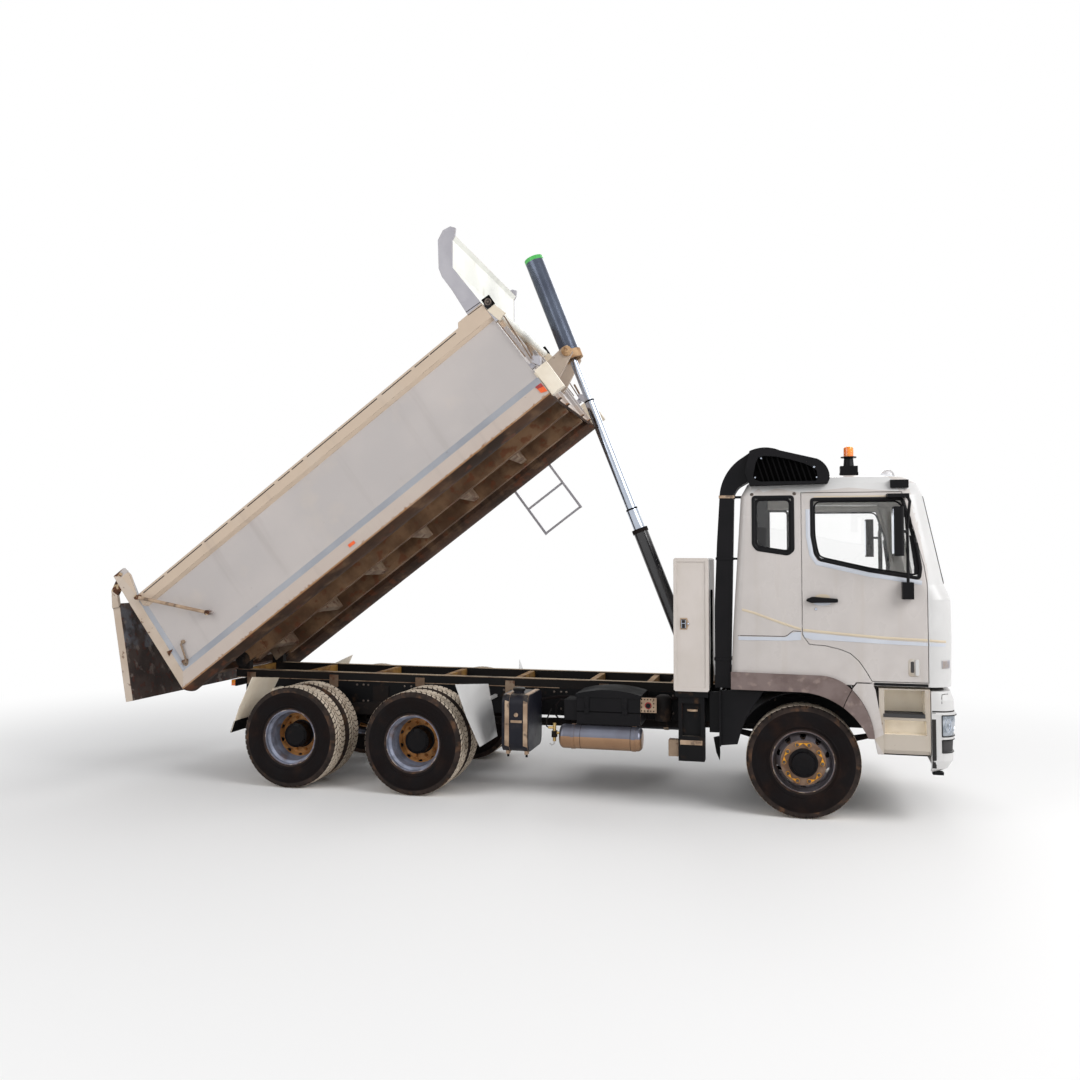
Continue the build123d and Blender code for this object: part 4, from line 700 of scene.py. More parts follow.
class Draft:
    """Mesh of one piece while it is built, in axes that a matrix places in the part's frame."""

    def __init__(self, place: Matrix | None = None) -> None:
        """Start an empty mesh.

        Args:
            place: Matrix from the axes in which it is drawn to the part's frame.
        """
        self.mesh = bmesh.new()
        self.place = place or Matrix.Identity(4)
        self.paint = 0

    def face(self, corners: list[bmesh.types.BMVert]) -> None:
        """Add one face with the finish in use."""
        made = self.mesh.faces.new(corners)
        made.material_index = self.paint

    def ring(self, points: list[Place | Vector]) -> list[bmesh.types.BMVert]:
        """Add corners, placed by the matrix."""
        return [self.mesh.verts.new(self.place @ Vector(point)) for point in points]

    def skin(self, rings: list[list[bmesh.types.BMVert]], around: bool, along: bool = False) -> None:
        """Join rings of corners by faces.

        Args:
            rings: Rings with as many corners each.
            around: Whether each ring closes on itself.
            along: Whether the last ring joins the first.
        """
        count = len(rings[0])
        for index in range(len(rings) if along else len(rings) - 1):
            first, second = rings[index], rings[(index + 1) % len(rings)]
            for k in range(count if around else count - 1):
                n = (k + 1) % count
                self.face([first[k], first[n], second[n], second[k]])

    def tube(self, rings: list[list[bmesh.types.BMVert]], closed: bool) -> None:
        """Join closed rings into a tube.

        Args:
            rings: Rings with as many corners each.
            closed: Whether the last ring joins the first; if not, both ends are capped.
        """
        self.skin(rings, True, closed)
        if not closed:
            self.face(rings[0][::-1])
            self.face(rings[-1])

    def block(self, low: Place, high: Place) -> None:
        """Add a box.

        Args:
            low: Its corner with the smallest coordinates.
            high: Its corner with the largest ones.
        """
        x0, y0, z0 = low
        x1, y1, z1 = high
        floor = self.ring([(x0, y0, z0), (x1, y0, z0), (x1, y1, z0), (x0, y1, z0)])
        roof = self.ring([(x0, y0, z1), (x1, y0, z1), (x1, y1, z1), (x0, y1, z1)])
        self.tube([floor, roof], False)

    def prism(self, outline: list[Spot], y0: float, y1: float) -> None:
        """Add an outline in X and Z carried from y0 to y1."""
        rings = [self.ring([(x, y, z) for x, z in outline]) for y in (y0, y1)]
        self.tube(rings, False)

    def lathe(
        self, profile: list[Spot], centre: Place, axis: Place, sides: int, closed: bool = False,
    ) -> None:
        """Add a surface of revolution.

        Args:
            profile: Radius and distance along the axis of each station.
            centre: A point on the axis.
            axis: Direction of the axis.
            sides: Number of faces round it.
            closed: Whether the profile closes on itself, as for a tyre.
        """
        turn = Vector((0, 0, 1)).rotation_difference(Vector(axis)).to_matrix()
        rings = []
        for radius, along in profile:
            spots = [Vector((radius * math.cos(a), radius * math.sin(a), along)) for a in turns(sides)]
            rings.append(self.ring([turn @ spot + Vector(centre) for spot in spots]))
        self.tube(rings, closed)

    def rod(self, points: list[Place], radius: float, sides: int = 10, closed: bool = False) -> None:
        """Add a round bar along points.

        Args:
            points: Places along its middle.
            radius: Its radius.
            sides: Number of faces round it.
            closed: Whether its end joins its start.
        """
        line = [Vector(point) for point in points]
        rings = []
        across = None
        for k, spot in enumerate(line):
            before = line[k - 1] if k or closed else spot
            after = line[(k + 1) % len(line)] if k < len(line) - 1 or closed else spot
            way = (after - before).normalized()
            across = way.orthogonal() if across is None else across - way * across.dot(way)
            across.normalize()
            other = way.cross(across)
            arms = [across * math.cos(a) + other * math.sin(a) for a in turns(sides)]
            rings.append(self.ring([spot + radius * arm for arm in arms]))
        self.tube(rings, closed)

    def bead(
        self, seats: list[Seat], width: float, height: float, closed: bool = False, depth: float = 0.002,
    ) -> None:
        """Add a low rounded strip that lies on a surface.

        Args:
            seats: Points on the surface with its outward normals.
            width: Width of the strip.
            height: How far it stands proud.
            closed: Whether its end joins its start.
            depth: How far it reaches below the surface.
        """
        half = width / 2
        section = [
            (half, -depth), (half, 0.4 * height), (0.6 * half, height), (-0.6 * half, height),
            (-half, 0.4 * height), (-half, -depth),
        ]
        self.strip(seats, section, closed)

    def strip(self, seats: list[Seat], section: list[Spot], closed: bool = False) -> None:
        """Carry a section along a line on a surface.

        Args:
            seats: Points on the surface with its outward normals.
            section: Distances to the side of the line and above the surface, in order.
            closed: Whether its end joins its start.
        """
        rings = []
        count = len(seats)
        for k, (spot, normal) in enumerate(seats):
            before = seats[k - 1][0] if k or closed else spot
            after = seats[(k + 1) % count][0] if k < count - 1 or closed else spot
            way = (after - before).normalized()
            across = way.cross(normal).normalized()
            rings.append(self.ring([spot + across * part + normal * lift for part, lift in section]))
        self.tube(rings, closed)

    def panel(self, rows: list[list[Seat]], height: float, depth: float = 0.002) -> None:
        """Add a plate that follows a surface.

        Args:
            rows: Rows of points on the surface with its outward normals.
            height: How far the plate's top stands above the surface.
            depth: How far its back lies below the surface.
        """
        edges = []
        for lift in (height, -depth):
            sheet = [self.ring([spot + normal * lift for spot, normal in row]) for row in rows]
            self.skin(sheet, False)
            side = [row[-1] for row in sheet[1:-1]] + sheet[-1][::-1] + [row[0] for row in sheet[-2:0:-1]]
            edges.append(sheet[0] + side)
        self.skin(edges, True)

    def stud(self, seat: Seat, radius: float, height: float, sides: int = 14) -> None:
        """Add a round button on a surface.

        Args:
            seat: Its place and the surface's outward normal.
            radius: Its radius.
            height: How far it stands proud.
            sides: Number of faces round it.
        """
        profile = [(radius, -0.003), (radius, 0.6 * height), (0.8 * radius, height)]
        self.lathe(profile, tuple(seat[0]), tuple(seat[1]), sides)

    def hollow(
        self, inner: float, outer: float, start: float, end: float, centre: Place, axis: Place,
    ) -> None:
        """Add a flat ring round an axis.

        Args:
            inner: Inner radius.
            outer: Outer radius.
            start: Distance along the axis where it begins.
            end: Distance along the axis where it ends.
            centre: A point on the axis.
            axis: Direction of the axis.
        """
        profile = [(inner, start), (outer, start), (outer, end), (inner, end)]
        self.lathe(profile, centre, axis, 48, closed=True)

    def made(
        self, name: str, body: str, *finishes: Finish, edge: float = 0.0, smooth: float = 40.0,
    ) -> bpy.types.Object:
        """Turn the draft into a piece that rides on a body.

        Args:
            name: Name of the piece.
            body: CAD body that carries it.
            *finishes: Its finishes, in the order of its faces' indices.
            edge: Width of the rounding along its sharp edges.
            smooth: Angle in degrees under which faces shade as one.

        Returns:
            The new object.
        """
        bmesh.ops.recalc_face_normals(self.mesh, faces=self.mesh.faces)
        data = bpy.data.meshes.new(name)
        self.mesh.to_mesh(data)
        self.mesh.free()
        data.shade_smooth()
        data.set_sharp_from_angle(angle=math.radians(smooth))
        for finish in finishes:
            data.materials.append(finish.material())
        piece = bpy.data.objects.new(name, data)
        bpy.context.scene.collection.objects.link(piece)
        if edge:
            rounding = piece.modifiers.new("rounding", "BEVEL")
            rounding.width = edge
            rounding.segments = 2
            rounding.limit_method = "ANGLE"
            rounding.angle_limit = math.radians(40)
        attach(piece, body)
        log.info("%s: %d faces on %s", name, len(data.polygons), body)
        return piece


def turns(count: int) -> list[float]:
    """Evenly spaced angles round a circle."""
    return [2 * math.pi * k / count for k in range(count)]


def rounded(outline: list[Spot], radius: float, steps: int = 5) -> list[Spot]:
    """Outline with its corners rounded.

    Args:
        outline: Corners of a closed outline.
        radius: Length cut from each side of a corner, at most 0.45 of the side.
        steps: Number of stretches in each rounding.

    Returns:
        More points, along the same outline.
    """
    points = []
    for k, corner in enumerate(outline):
        here = Vector(corner)
        before = Vector(outline[k - 1]) - here
        after = Vector(outline[(k + 1) % len(outline)]) - here
        start = here + before.normalized() * min(radius, before.length * 0.45)
        end = here + after.normalized() * min(radius, after.length * 0.45)
        for step in range(steps + 1):
            share = step / steps
            spot = start.lerp(here, share).lerp(here.lerp(end, share), share)
            points.append((spot.x, spot.y))
    return points


def rectangle(low: Spot, high: Spot) -> list[Spot]:
    """Outline of a rectangle between two corners."""
    return [low, (high[0], low[1]), high, (low[0], high[1])]


def spaced(outline: list[Spot], step: float) -> list[Spot]:
    """Closed outline with more points on its long sides.

    Args:
        outline: Corners of the outline.
        step: Distance that two points are to have at least.

    Returns:
        The corners and the points between them.
    """
    points = []
    for k, corner in enumerate(outline):
        here = Vector(corner)
        there = Vector(outline[(k + 1) % len(outline)])
        parts = max(1, int((there - here).length / step))
        for index in range(parts):
            spot = here.lerp(there, index / parts)
            points.append((spot.x, spot.y))
    return points


def grown(outline: list[Spot], gap: float) -> list[Spot]:
    """Closed outline moved out on every side.

    Args:
        outline: Corners of the outline.
        gap: How far it moves out, or in where it is negative.

    Returns:
        As many corners, moved.
    """
    area = sum(x0 * z1 - x1 * z0 for (x0, z0), (x1, z1) in zip(outline, outline[1:] + outline[:1]))
    way = math.copysign(1.0, area)
    points = []
    for k, corner in enumerate(outline):
        here = Vector(corner)
        before = (here - Vector(outline[k - 1])).normalized()
        after = (Vector(outline[(k + 1) % len(outline)]) - here).normalized()
        first = Vector((before.y, -before.x)) * way
        middle = (first + Vector((after.y, -after.x)) * way).normalized()
        spot = here + middle * gap / max(0.35, middle.dot(first))
        points.append((spot.x, spot.y))
    return points


def level(line: list[Spot], x: float) -> float:
    """Height of a line of points at a place along it.

    Args:
        line: Its points, from back to front.
        x: The place.

    Returns:
        The height there, or the last point's beyond the end.
    """
    for (x0, z0), (x1, z1) in zip(line, line[1:]):
        if x <= x1:
            return z0 + (z1 - z0) * (x - x0) / (x1 - x0)
    return line[-1][1]


def spread(start: float, end: float, count: int) -> list[float]:
    """Evenly spaced numbers from start to end."""
    return [start + (end - start) * k / (count - 1) for k in range(count)]


def traced(line: list[Spot], start: float, end: float, count: int) -> list[Spot]:
    """Points of a line from one place along it to another."""
    return [(x, level(line, x)) for x in spread(start, end, count)]


def oval(centre: Spot, wide: float, high: float, sides: int = 20) -> list[Spot]:
    """Outline of an ellipse by its half width and half height."""
    return [(centre[0] + wide * math.cos(a), centre[1] + high * math.sin(a)) for a in turns(sides)]


class Skin:
    """Outer surface of CAD nodes, on which trim is seated."""

    def __init__(self, *nodes: str) -> None:
        """Read the nodes' surfaces.

        Args:
            *nodes: Names of the nodes.
        """
        corners: list[Vector] = []
        faces: list[list[int]] = []
        for node in nodes:
            mesh = frame["nodes"][node].data
            start = len(corners)
            corners += [vertex.co for vertex in mesh.vertices]
            faces += [[start + index for index in face.vertices] for face in mesh.polygons]
        self.tree = BVHTree.FromPolygons(corners, faces)

    def seat(self, start: Vector, way: Vector) -> Seat:
        """Where a straight line first meets the surface.

        Args:
            start: A point outside the surface.
            way: Direction of the line.

        Returns:
            The point and the normal that faces back along the line.
        """
        spot, normal, _, _ = self.tree.ray_cast(start, way)
        if spot is None:
            spot, normal, _, _ = self.tree.find_nearest(start)
        if normal.dot(way) > 0:
            normal = -normal
        return spot, normal

    def side_seats(self, outline: list[Spot], side: Side) -> list[Seat]:
        """Seats of an outline, given forward of the front axle and up, on one side of the vehicle."""
        out = side.value
        return [self.seat(Vector((FRONT_X + x, out * 3.0, z)), Vector((0, -out, 0))) for x, z in outline]

    def end_seats(self, outline: list[Spot], way: int) -> list[Seat]:
        """Seats of an outline, given across and up, on the front (way 1) or the back (way -1)."""
        return [self.seat(Vector((FRONT_X + way * 5.0, y, z)), Vector((-way, 0, 0))) for y, z in outline]


@dataclass
class Studio:
    """Pale floor, soft lamps, pale surroundings and the camera at the photograph's place."""

    floor_radius: float = 90.0
    floor_tone: Colour = (0.955, 0.95, 0.945)
    fade_start: float = 3.8
    fade_end: float = 10.5
    camera_place: Place = (-0.203, -10.497, 2.336)
    yaw: float = 13.575
    pitch: float = 3.085
    roll: float = 0.22
    focal_pixels: float = 986.3
    principal_row: float = 505.8
    picture: float = 1080.0
    world_strength: float = 0.47
    lamps: tuple[tuple[Place, float, float], ...] = (
        ((10.5, -5.5, 8.0), 7.0, 960.0),
        ((-6.0, -9.0, 6.5), 7.0, 330.0),
        ((2.0, 10.0, 9.0), 8.0, 560.0),
    )

    def build(self) -> None:
        """Make the floor, the surroundings, the lamps and the camera."""
        self.floor()
        self.surroundings()
        for index, (place, size, power) in enumerate(self.lamps):
            self.lamp(f"soft_lamp_{index}", place, size, power)
        self.camera()
        bpy.context.scene.view_settings.view_transform = "Standard"
        log.info("studio built")

    def seen_directly(self, tree: bpy.types.NodeTree) -> Socket:
        """Tell the rays that see a thing as the camera does.

        Args:
            tree: Node tree to add to.

        Returns:
            A value of one for camera, glossy and transmission rays.
        """
        path = add_node(tree, "LightPath", {})
        share = path.outputs["Is Camera Ray"]
        for name in ("Is Glossy Ray", "Is Transmission Ray"):
            share = add_node(tree, "Math", {0: share, 1: path.outputs[name]}, operation="MAXIMUM").outputs[0]
        return share

    def floor(self) -> None:
        """Round pale floor that fades into the surroundings far off."""
        data = bpy.data.meshes.new("floor")
        mesh = bmesh.new()
        bmesh.ops.create_circle(mesh, cap_ends=True, segments=96, radius=self.floor_radius)
        mesh.to_mesh(data)
        mesh.free()
        floor = bpy.data.objects.new("floor", data)
        bpy.context.scene.collection.objects.link(floor)
        material = bpy.data.materials.new("studio_floor")
        material.use_nodes = True
        tree = material.node_tree
        shader = tree.nodes["Principled BSDF"]
        fill(shader, {"Base Color": linear(self.floor_tone), "Roughness": 0.9, "Specular IOR Level": 0.1})
        place = add_node(tree, "TexCoord", {})
        length = add_node(tree, "VectorMath", {0: place.outputs["Object"]}, operation="LENGTH")
        reach = {0: length.outputs["Value"], 1: self.fade_start, 2: self.fade_end}
        far = add_node(tree, "MapRange", reach, interpolation_type="SMOOTHSTEP").outputs[0]
        share = add_node(tree, "Math", {0: far, 1: self.seen_directly(tree)}, operation="MULTIPLY")
        glow = add_node(tree, "Emission", {"Color": (1, 1, 1, 1)})
        parts = {0: share.outputs[0], 1: shader.outputs[0], 2: glow.outputs[0]}
        both = add_node(tree, "MixShader", parts)
        fill(tree.nodes["Material Output"], {0: both.outputs[0]})
        data.materials.append(material)

    def surroundings(self) -> None:
        """White surroundings for what is seen, and a plain level of light for the rest."""
        world = bpy.data.worlds.new("surroundings")
        bpy.context.scene.world = world
        world.use_nodes = True
        tree = world.node_tree
        seen = tree.nodes["Background"]
        seen.inputs[0].default_value = (1, 1, 1, 1)
        light = add_node(tree, "Background", {0: (0.95, 0.97, 1.0, 1), 1: self.world_strength})
        parts = {0: self.seen_directly(tree), 1: light.outputs[0], 2: seen.outputs[0]}
        both = add_node(tree, "MixShader", parts)
        fill(tree.nodes["World Output"], {0: both.outputs[0]})

    def lamp(self, name: str, place: Place, size: float, power: float) -> None:
        """Large square lamp that looks at the middle of the vehicle.

        Args:
            name: Name of the lamp.
            place: Where it hangs.
            size: Length of its side.
            power: Its power in watts.
        """
        data = bpy.data.lights.new(name, "AREA")
        data.size = size
        data.energy = power
        lamp = bpy.data.objects.new(name, data)
        lamp.location = place
        lamp.rotation_euler = (Vector((0, 0, 1.6)) - Vector(place)).to_track_quat("-Z", "Y").to_euler()
        bpy.context.scene.collection.objects.link(lamp)

    def camera(self) -> None:
        """Camera solved from the photograph: yaw from straight across, pitch up and a slight roll."""
        yaw, pitch, roll = (math.radians(angle) for angle in (self.yaw, self.pitch, self.roll))
        ahead = Vector((-math.sin(yaw) * math.cos(pitch), math.cos(yaw) * math.cos(pitch), math.sin(pitch)))
        level = Vector((math.cos(yaw), math.sin(yaw), 0))
        upward = level.cross(ahead)
        across = level * math.cos(roll) + upward * math.sin(roll)
        over = upward * math.cos(roll) - level * math.sin(roll)
        data = bpy.data.cameras.new("camera")
        data.sensor_width = 36.0
        data.lens = self.focal_pixels / self.picture * data.sensor_width
        data.shift_y = (self.principal_row - self.picture / 2) / self.picture
        camera = bpy.data.objects.new("camera", data)
        turn = Matrix((across, over, -ahead)).transposed().to_4x4()
        x, y, z = self.camera_place
        camera.matrix_world = Matrix.Translation((x + FRONT_X, y, z)) @ turn
        bpy.context.scene.collection.objects.link(camera)
        bpy.context.scene.camera = camera


def round_axle(radius: float, angle: float, along: float) -> Place:
    """Point round an axle, and some way along it from its middle."""
    return radius * math.cos(angle), along, radius * math.sin(angle)


@dataclass
class Tyres:
    """Ten tyres with block tread, each standing in for its plain solid."""

    radius: float = 0.51
    half: float = 0.141
    bead_radius: float = 0.283
    groove: float = 0.015
    sides: int = 144
    pitches: int = 58
    rows: tuple[tuple[float, float, float], ...] = (
        (-0.112, -0.068, 0.0),
        (-0.061, -0.023, 0.35),
        (-0.017, 0.017, 0.0),
        (0.023, 0.061, 0.35),
        (0.068, 0.112, 0.0),
    )
    sidewall: tuple[tuple[float, float, int], ...] = (
        (0.0, -0.032, 1), (0.012, -0.022, 1), (0.03, -0.014, 0), (0.034, -0.01, 0), (0.04, -0.01, 0),
        (0.044, -0.012, 0), (0.075, -0.004, 0), (0.11, 0.0, 0), (0.135, -0.001, 0), (0.139, 0.0, 0),
        (0.145, -0.002, 0), (0.172, -0.006, 0),
    )
    shoulder: tuple[tuple[float, float, int], ...] = ((-0.036, -0.01, 1), (-0.03, -0.011, 1))

    def build(self) -> None:
        """Make the tyres of every wheel."""
        for axle, side in WHEELS:
            self.wheel(axle, side)

    def wheel(self, axle: str, side: Side) -> None:
        """Make the tyre or twin tyres of one wheel.

        Args:
            axle: Name of the axle.
            side: Side of the vehicle.
        """
        node = f"tyre_{axle}_{side}"
        low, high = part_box(node)
        centre = (low + high) / 2
        draft = Draft()
        if axle == "front":
            middles = [centre.y]
        else:
            middles = [low.y + self.half, high.y - self.half]
        for middle in middles:
            draft.place = Matrix.Translation((centre.x, middle, centre.z))
            self.carcass(draft)
            self.tread(draft)
        rubber = (RUBBER, SHOULDER_RUBBER, DUSTY_SUNLIT_RUBBER)
        piece = draft.made(f"{node}_tread", f"wheel_{axle}_{side}", *rubber, smooth=32)
        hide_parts(node)

    def side_profile(self) -> list[tuple[float, float, int]]:
        """Outline of one side.

        Returns:
            Radius, distance from the middle and finish, from the bead to the edge of the tread.
        """
        lower = [(self.bead_radius + rise, self.half + out, paint) for rise, out, paint in self.sidewall]
        upper = [(self.radius + rise, self.half + out, paint) for rise, out, paint in self.shoulder]
        return lower + upper + [(self.radius - self.groove - 0.004, self.half - 0.022, 1)]

    def carcass(self, draft: Draft) -> None:
        """Add the sidewalls and the floor of the tread.

        Args:
            draft: Mesh to add to, placed at the middle of the tyre.
        """
        side = self.side_profile()
        floor = self.radius - self.groove
        stations = [(radius, along, paint) for radius, along, paint in side]
        stations += [(floor, along, 1) for along in (0.1, 0.06, 0.02, -0.02, -0.06, -0.1)]
        stations += [(radius, -along, paint) for radius, along, paint in side[::-1]]
        inner = self.bead_radius - 0.004
        stations += [(inner, -self.half + 0.04, 0), (inner, self.half - 0.04, 0)]
        rings = []
        for radius, along, _ in stations:
            rings.append(draft.ring([round_axle(radius, a, along) for a in turns(self.sides)]))
        for index, ring in enumerate(rings):
            draft.paint = stations[index][2]
            draft.skin([ring, rings[(index + 1) % len(rings)]], True)
        draft.paint = 0

    def tread(self, draft: Draft) -> None:
        """Add rows of tread blocks, with lugs that run down the shoulder.

        Args:
            draft: Mesh to add to, placed at the middle of the tyre.
        """
        pitch = 2 * math.pi / self.pitches
        floor = self.radius - self.groove - 0.003
        for y0, y1, shift in self.rows:
            outer = abs(y0 + y1) > 0.15
            crown = self.radius - 0.9 * ((y0 + y1) / 2) ** 2 * 0.4
            for k in range(self.pitches):
                start = (k + shift) * pitch
                width = pitch * (0.8 if outer else 0.86)
                skew = 0.25 * pitch if outer else (0.35 if y0 + y1 < 0 else -0.35) * pitch
                self.lug(draft, (start, width, skew), (y0, y1), (floor, crown))
                if outer:
                    self.shoulder_lug(draft, start, width, math.copysign(1.0, y0 + y1), crown)

    def lug(self, draft: Draft, turn: Place, span: Spot, radii: Spot) -> None:
        """Add one tread block.

        Args:
            draft: Mesh to add to.
            turn: Start angle, width and skew, in radians.
            span: Its two edges across the tyre.
            radii: Radius of its foot and of its top.
        """
        start, width, skew = turn
        paint = draft.paint
        layers = []
        for radius, in_y, in_a in ((radii[0], 0, 0), (radii[1] - 0.002, 0, 0), (radii[1], 0.0025, 0.004)):
            corners = (
                (start + in_a, span[0] + in_y),
                (start + width - in_a, span[0] + in_y),
                (start + width + skew - in_a, span[1] - in_y),
                (start + skew + in_a, span[1] - in_y),
            )
            layers.append(draft.ring([round_axle(radius, angle, y) for angle, y in corners]))
        draft.paint = 1
        draft.skin(layers[:2], True)
        # Block tops in dusty rubber pushed brighter as painted sunlight.
        draft.paint = 2
        draft.skin(layers[1:], True)
        draft.face(layers[-1])
        draft.paint = paint

    def shoulder_lug(self, draft: Draft, start: float, width: float, way: float, top: float) -> None:
        """Add the part of an outer block that runs down the sidewall.

        Args:
            draft: Mesh to add to.
            start: Its start angle.
            width: Its width in radians.
            way: Side of the tyre, 1 or -1.
            top: Radius of the block's top.
        """
        skew = 0.25 * 2 * math.pi / self.pitches
        begin = start + (skew if way > 0 else 0.0)
        stations = [
            (top - 0.001, 0.109), (top - 0.01, 0.122),
            (self.radius - 0.034, 0.1315), (self.radius - 0.05, 0.13),
        ]
        outer = []
        inner = []
        for radius, y in stations:
            for group, sink in ((outer, 0.0), (inner, 0.012)):
                angles = (begin, begin + width)
                group.append(draft.ring([round_axle(radius, a, way * (y - sink)) for a in angles]))
        draft.paint = 1
        for k in range(len(stations) - 1):
            draft.face([outer[k][0], outer[k][1], outer[k + 1][1], outer[k + 1][0]])
            draft.face([inner[k][0], outer[k][0], outer[k + 1][0], inner[k + 1][0]])
            draft.face([inner[k][1], outer[k][1], outer[k + 1][1], inner[k + 1][1]])
        draft.paint = 0


@dataclass
class Finishes:
    """Finishes of the nodes whose shape is kept."""

    cab_heart: Place = (0.35, 0.0, 2.2)
    plain: tuple[tuple[Finish, tuple[str, ...]], ...] = (
        (CHASSIS_PAINT, ("chassis_rails", "locker_bracket")),
        (ENGINE_GREY, ("engine",)),
        (CAST_STEEL, ("front_axle", "drive_axles", "springs", "propshafts", "knuckle_left", "knuckle_right")),
        (LOCKER_PAINT, ("locker",)),
        (WHITE_AND_SUNLIT_PAINT, ("bumper",)),
        (WORN_PLASTIC, ("flare_ends", "arch_flares")),
        (WINDOW_GLASS, ("door_glass_left", "door_glass_right", "cab_glass")),
        (BLACK_PLASTIC, ("grille", "mirror_left", "mirror_right")),
        (SEAT_CLOTH, ("seats",)),
        (DASH_GREY, ("dashboard",)),
        (HOIST_BLACK, ("hoist_barrel",)),
        (CHROME, ("hoist_sleeve_1", "hoist_sleeve_2", "hoist_rod")),
        (TAN_CASTING, ("hoist_collar",)),
        (POST_CREAM, ("hoist_bracket",)),
        (HEAD_PAINT, ("ladder",)),
    )

    def build(self) -> None:
        """Dress every kept node."""
        for finish, nodes in self.plain:
            for node in nodes:
                dress(node, finish)
        for node in ("cab_shell", "door_left", "door_right"):
            dress(node, CAB_PAINT, LINING, WHITE_AND_SUNLIT_PAINT, choose=self.cab_side)
        tray = (TRAY_PAINT, TRAY_INSIDE, UNDERSIDE, TRAY_SKY_REFLECTION, POST_CREAM, STRAP_BEIGE, RUSTED)
        dress("tray_body", *tray, choose=self.tray_side, axes=TRAY_AXES)
        dress("tray_frame", RUSTY_STEEL, MEMBER_BEIGE, choose=self.frame_side, axes=TRAY_AXES)
        dress("head_guard", HEAD_PAINT, SUNLIT_HEAD_WHITE, BLACK_PLASTIC, choose=self.guard_side, axes=TRAY_AXES)
        dress("tailgate", GATE_STEEL, POST_CREAM, TRAY_SKY_REFLECTION, RUSTED, choose=self.gate_side, axes=GATE_AXES)
        dress("hoist_cover", COVER_PAINTED_SHEEN, CAP_GREEN, choose=self.cover_side, axes=HOIST_AXES)
        dress("mudguards", CREAM_AND_SUNLIT_PAINT, BLACK_PLASTIC, WHITE_AND_SUNLIT_PAINT, choose=self.guard_face)
        dress("subframe", SUBFRAME_PAINT, TIE_YELLOW, choose=self.subframe_side)
        dress("lamps", LAMP_REFLECTOR, DASH_GREY, RED_GLASS, AMBER_GLASS, choose=self.lamp)
        dress("beacon", BLACK_PLASTIC, AMBER_GLASS, choose=self.beacon_side)
        dress("roof_fittings", BLACK_PLASTIC, LAMP_GLASS, choose=self.fitting_side)
        dress("roof_intake", BLACK_PLASTIC, DEEP_BLACK, STRAP_BEIGE, choose=self.intake_side)
        dress("air_tank", TANK_GROUND_REFLECTION, TANK_SKY_REFLECTION, choose=self.air_side)
        dress("battery_box", BLACK_PLASTIC, STRAP_BEIGE, DEEP_BLACK, choose=self.battery_side)
        dress("tanks", TANK_BLUE, STRAP_BEIGE, choose=self.tank_side)
        dress("cab_steps", STEP_PAINT_AND_SHADE, CREAM_AND_SUNLIT_PAINT, CAB_PAINT, choose=self.step_side)
        for axle, side in WHEELS:
            self.wheel(axle, side)

    def cab_side(self, spot: Vector, normal: Vector) -> Finish:
        """Paint outside, lining inside, and painted sunlight on the front, the front corner and the roof
        edge.

        Args:
            spot: Middle of the face.
            normal: Its outward normal.

        Returns:
            Its finish.
        """
        if normal.dot(spot - Vector(self.cab_heart)) < -0.05:
            return LINING
        # Painted highlight on the roof's edge faces, painted sunlight on the front corner and front faces.
        if spot.z > 2.975:
            return WHITE_AND_SUNLIT_PAINT if normal.z < 0.8 else CAB_PAINT
        return WHITE_AND_SUNLIT_PAINT if spot.x > 1.078 or normal.x > 0.4 else CAB_PAINT

    def guard_face(self, spot: Vector, normal: Vector) -> Finish:
        """Black guard behind the front wheel, painted sunlight on the one before the driven wheels, cream
        elsewhere.
        """
        rear = WHITE_AND_SUNLIT_PAINT if spot.x > -3.62 else CREAM_AND_SUNLIT_PAINT
        return BLACK_PLASTIC if spot.x > -2.0 else rear

    def tray_side(self, spot: Vector, normal: Vector) -> Finish:
        """Tray: paint, scraped inside, rusty underside, pale posts, painted sky reflection on ledges, rusty
        fittings.

        Args:
            spot: Middle of the face.
            normal: Its outward normal.

        Returns:
            Its finish.
        """
        half = abs(spot.y)
        outward = normal.y * math.copysign(1.0, spot.y)
        if half > 1.2205:
            return RUSTED if spot.x < 0.19 or spot.x > 0.68 else STRAP_BEIGE
        if spot.x < 0.112 and half > 1.1:
            return RUSTED if spot.z > 1.395 else POST_CREAM
        # Painted sky reflection on the posts' front flanks and on the sill's upward slope.
        if spot.x < 0.15 and half > 1.17 and normal.x > 0.4:
            return TRAY_SKY_REFLECTION
        if 0.14 < spot.z < 0.24 and outward > 0.3 and normal.z > 0.3:
            return TRAY_SKY_REFLECTION
        if spot.z < 0.18 and (normal.z < -0.4 or (outward < 0.5 and half < 1.19)):
            return UNDERSIDE
        if spot.x < 4.93 and half < 1.165 and (outward < -0.5 or abs(normal.x) > 0.5 or normal.z > 0.5):
            return TRAY_INSIDE
        return TRAY_PAINT

    def frame_side(self, spot: Vector, normal: Vector) -> Finish:
        """Rusty runners under the tray, and paler cross-members between them."""
        return MEMBER_BEIGE if abs(spot.y) < 0.346 else RUSTY_STEEL

    def subframe_side(self, spot: Vector, normal: Vector) -> Finish:
        """Dark rails of the subframe, and yellowed ties between them."""
        return TIE_YELLOW if abs(spot.y) < 0.344 else SUBFRAME_PAINT

    def guard_side(self, spot: Vector, normal: Vector) -> Finish:
        """Head guard: side plates grey, sheet white pushed brighter as painted sunlight, roller black."""
        plate = BLACK_PLASTIC if math.hypot(spot.x - 4.996, spot.z - 1.12) < 0.055 else HEAD_PAINT
        return SUNLIT_HEAD_WHITE if abs(spot.y) < 1.1795 else plate

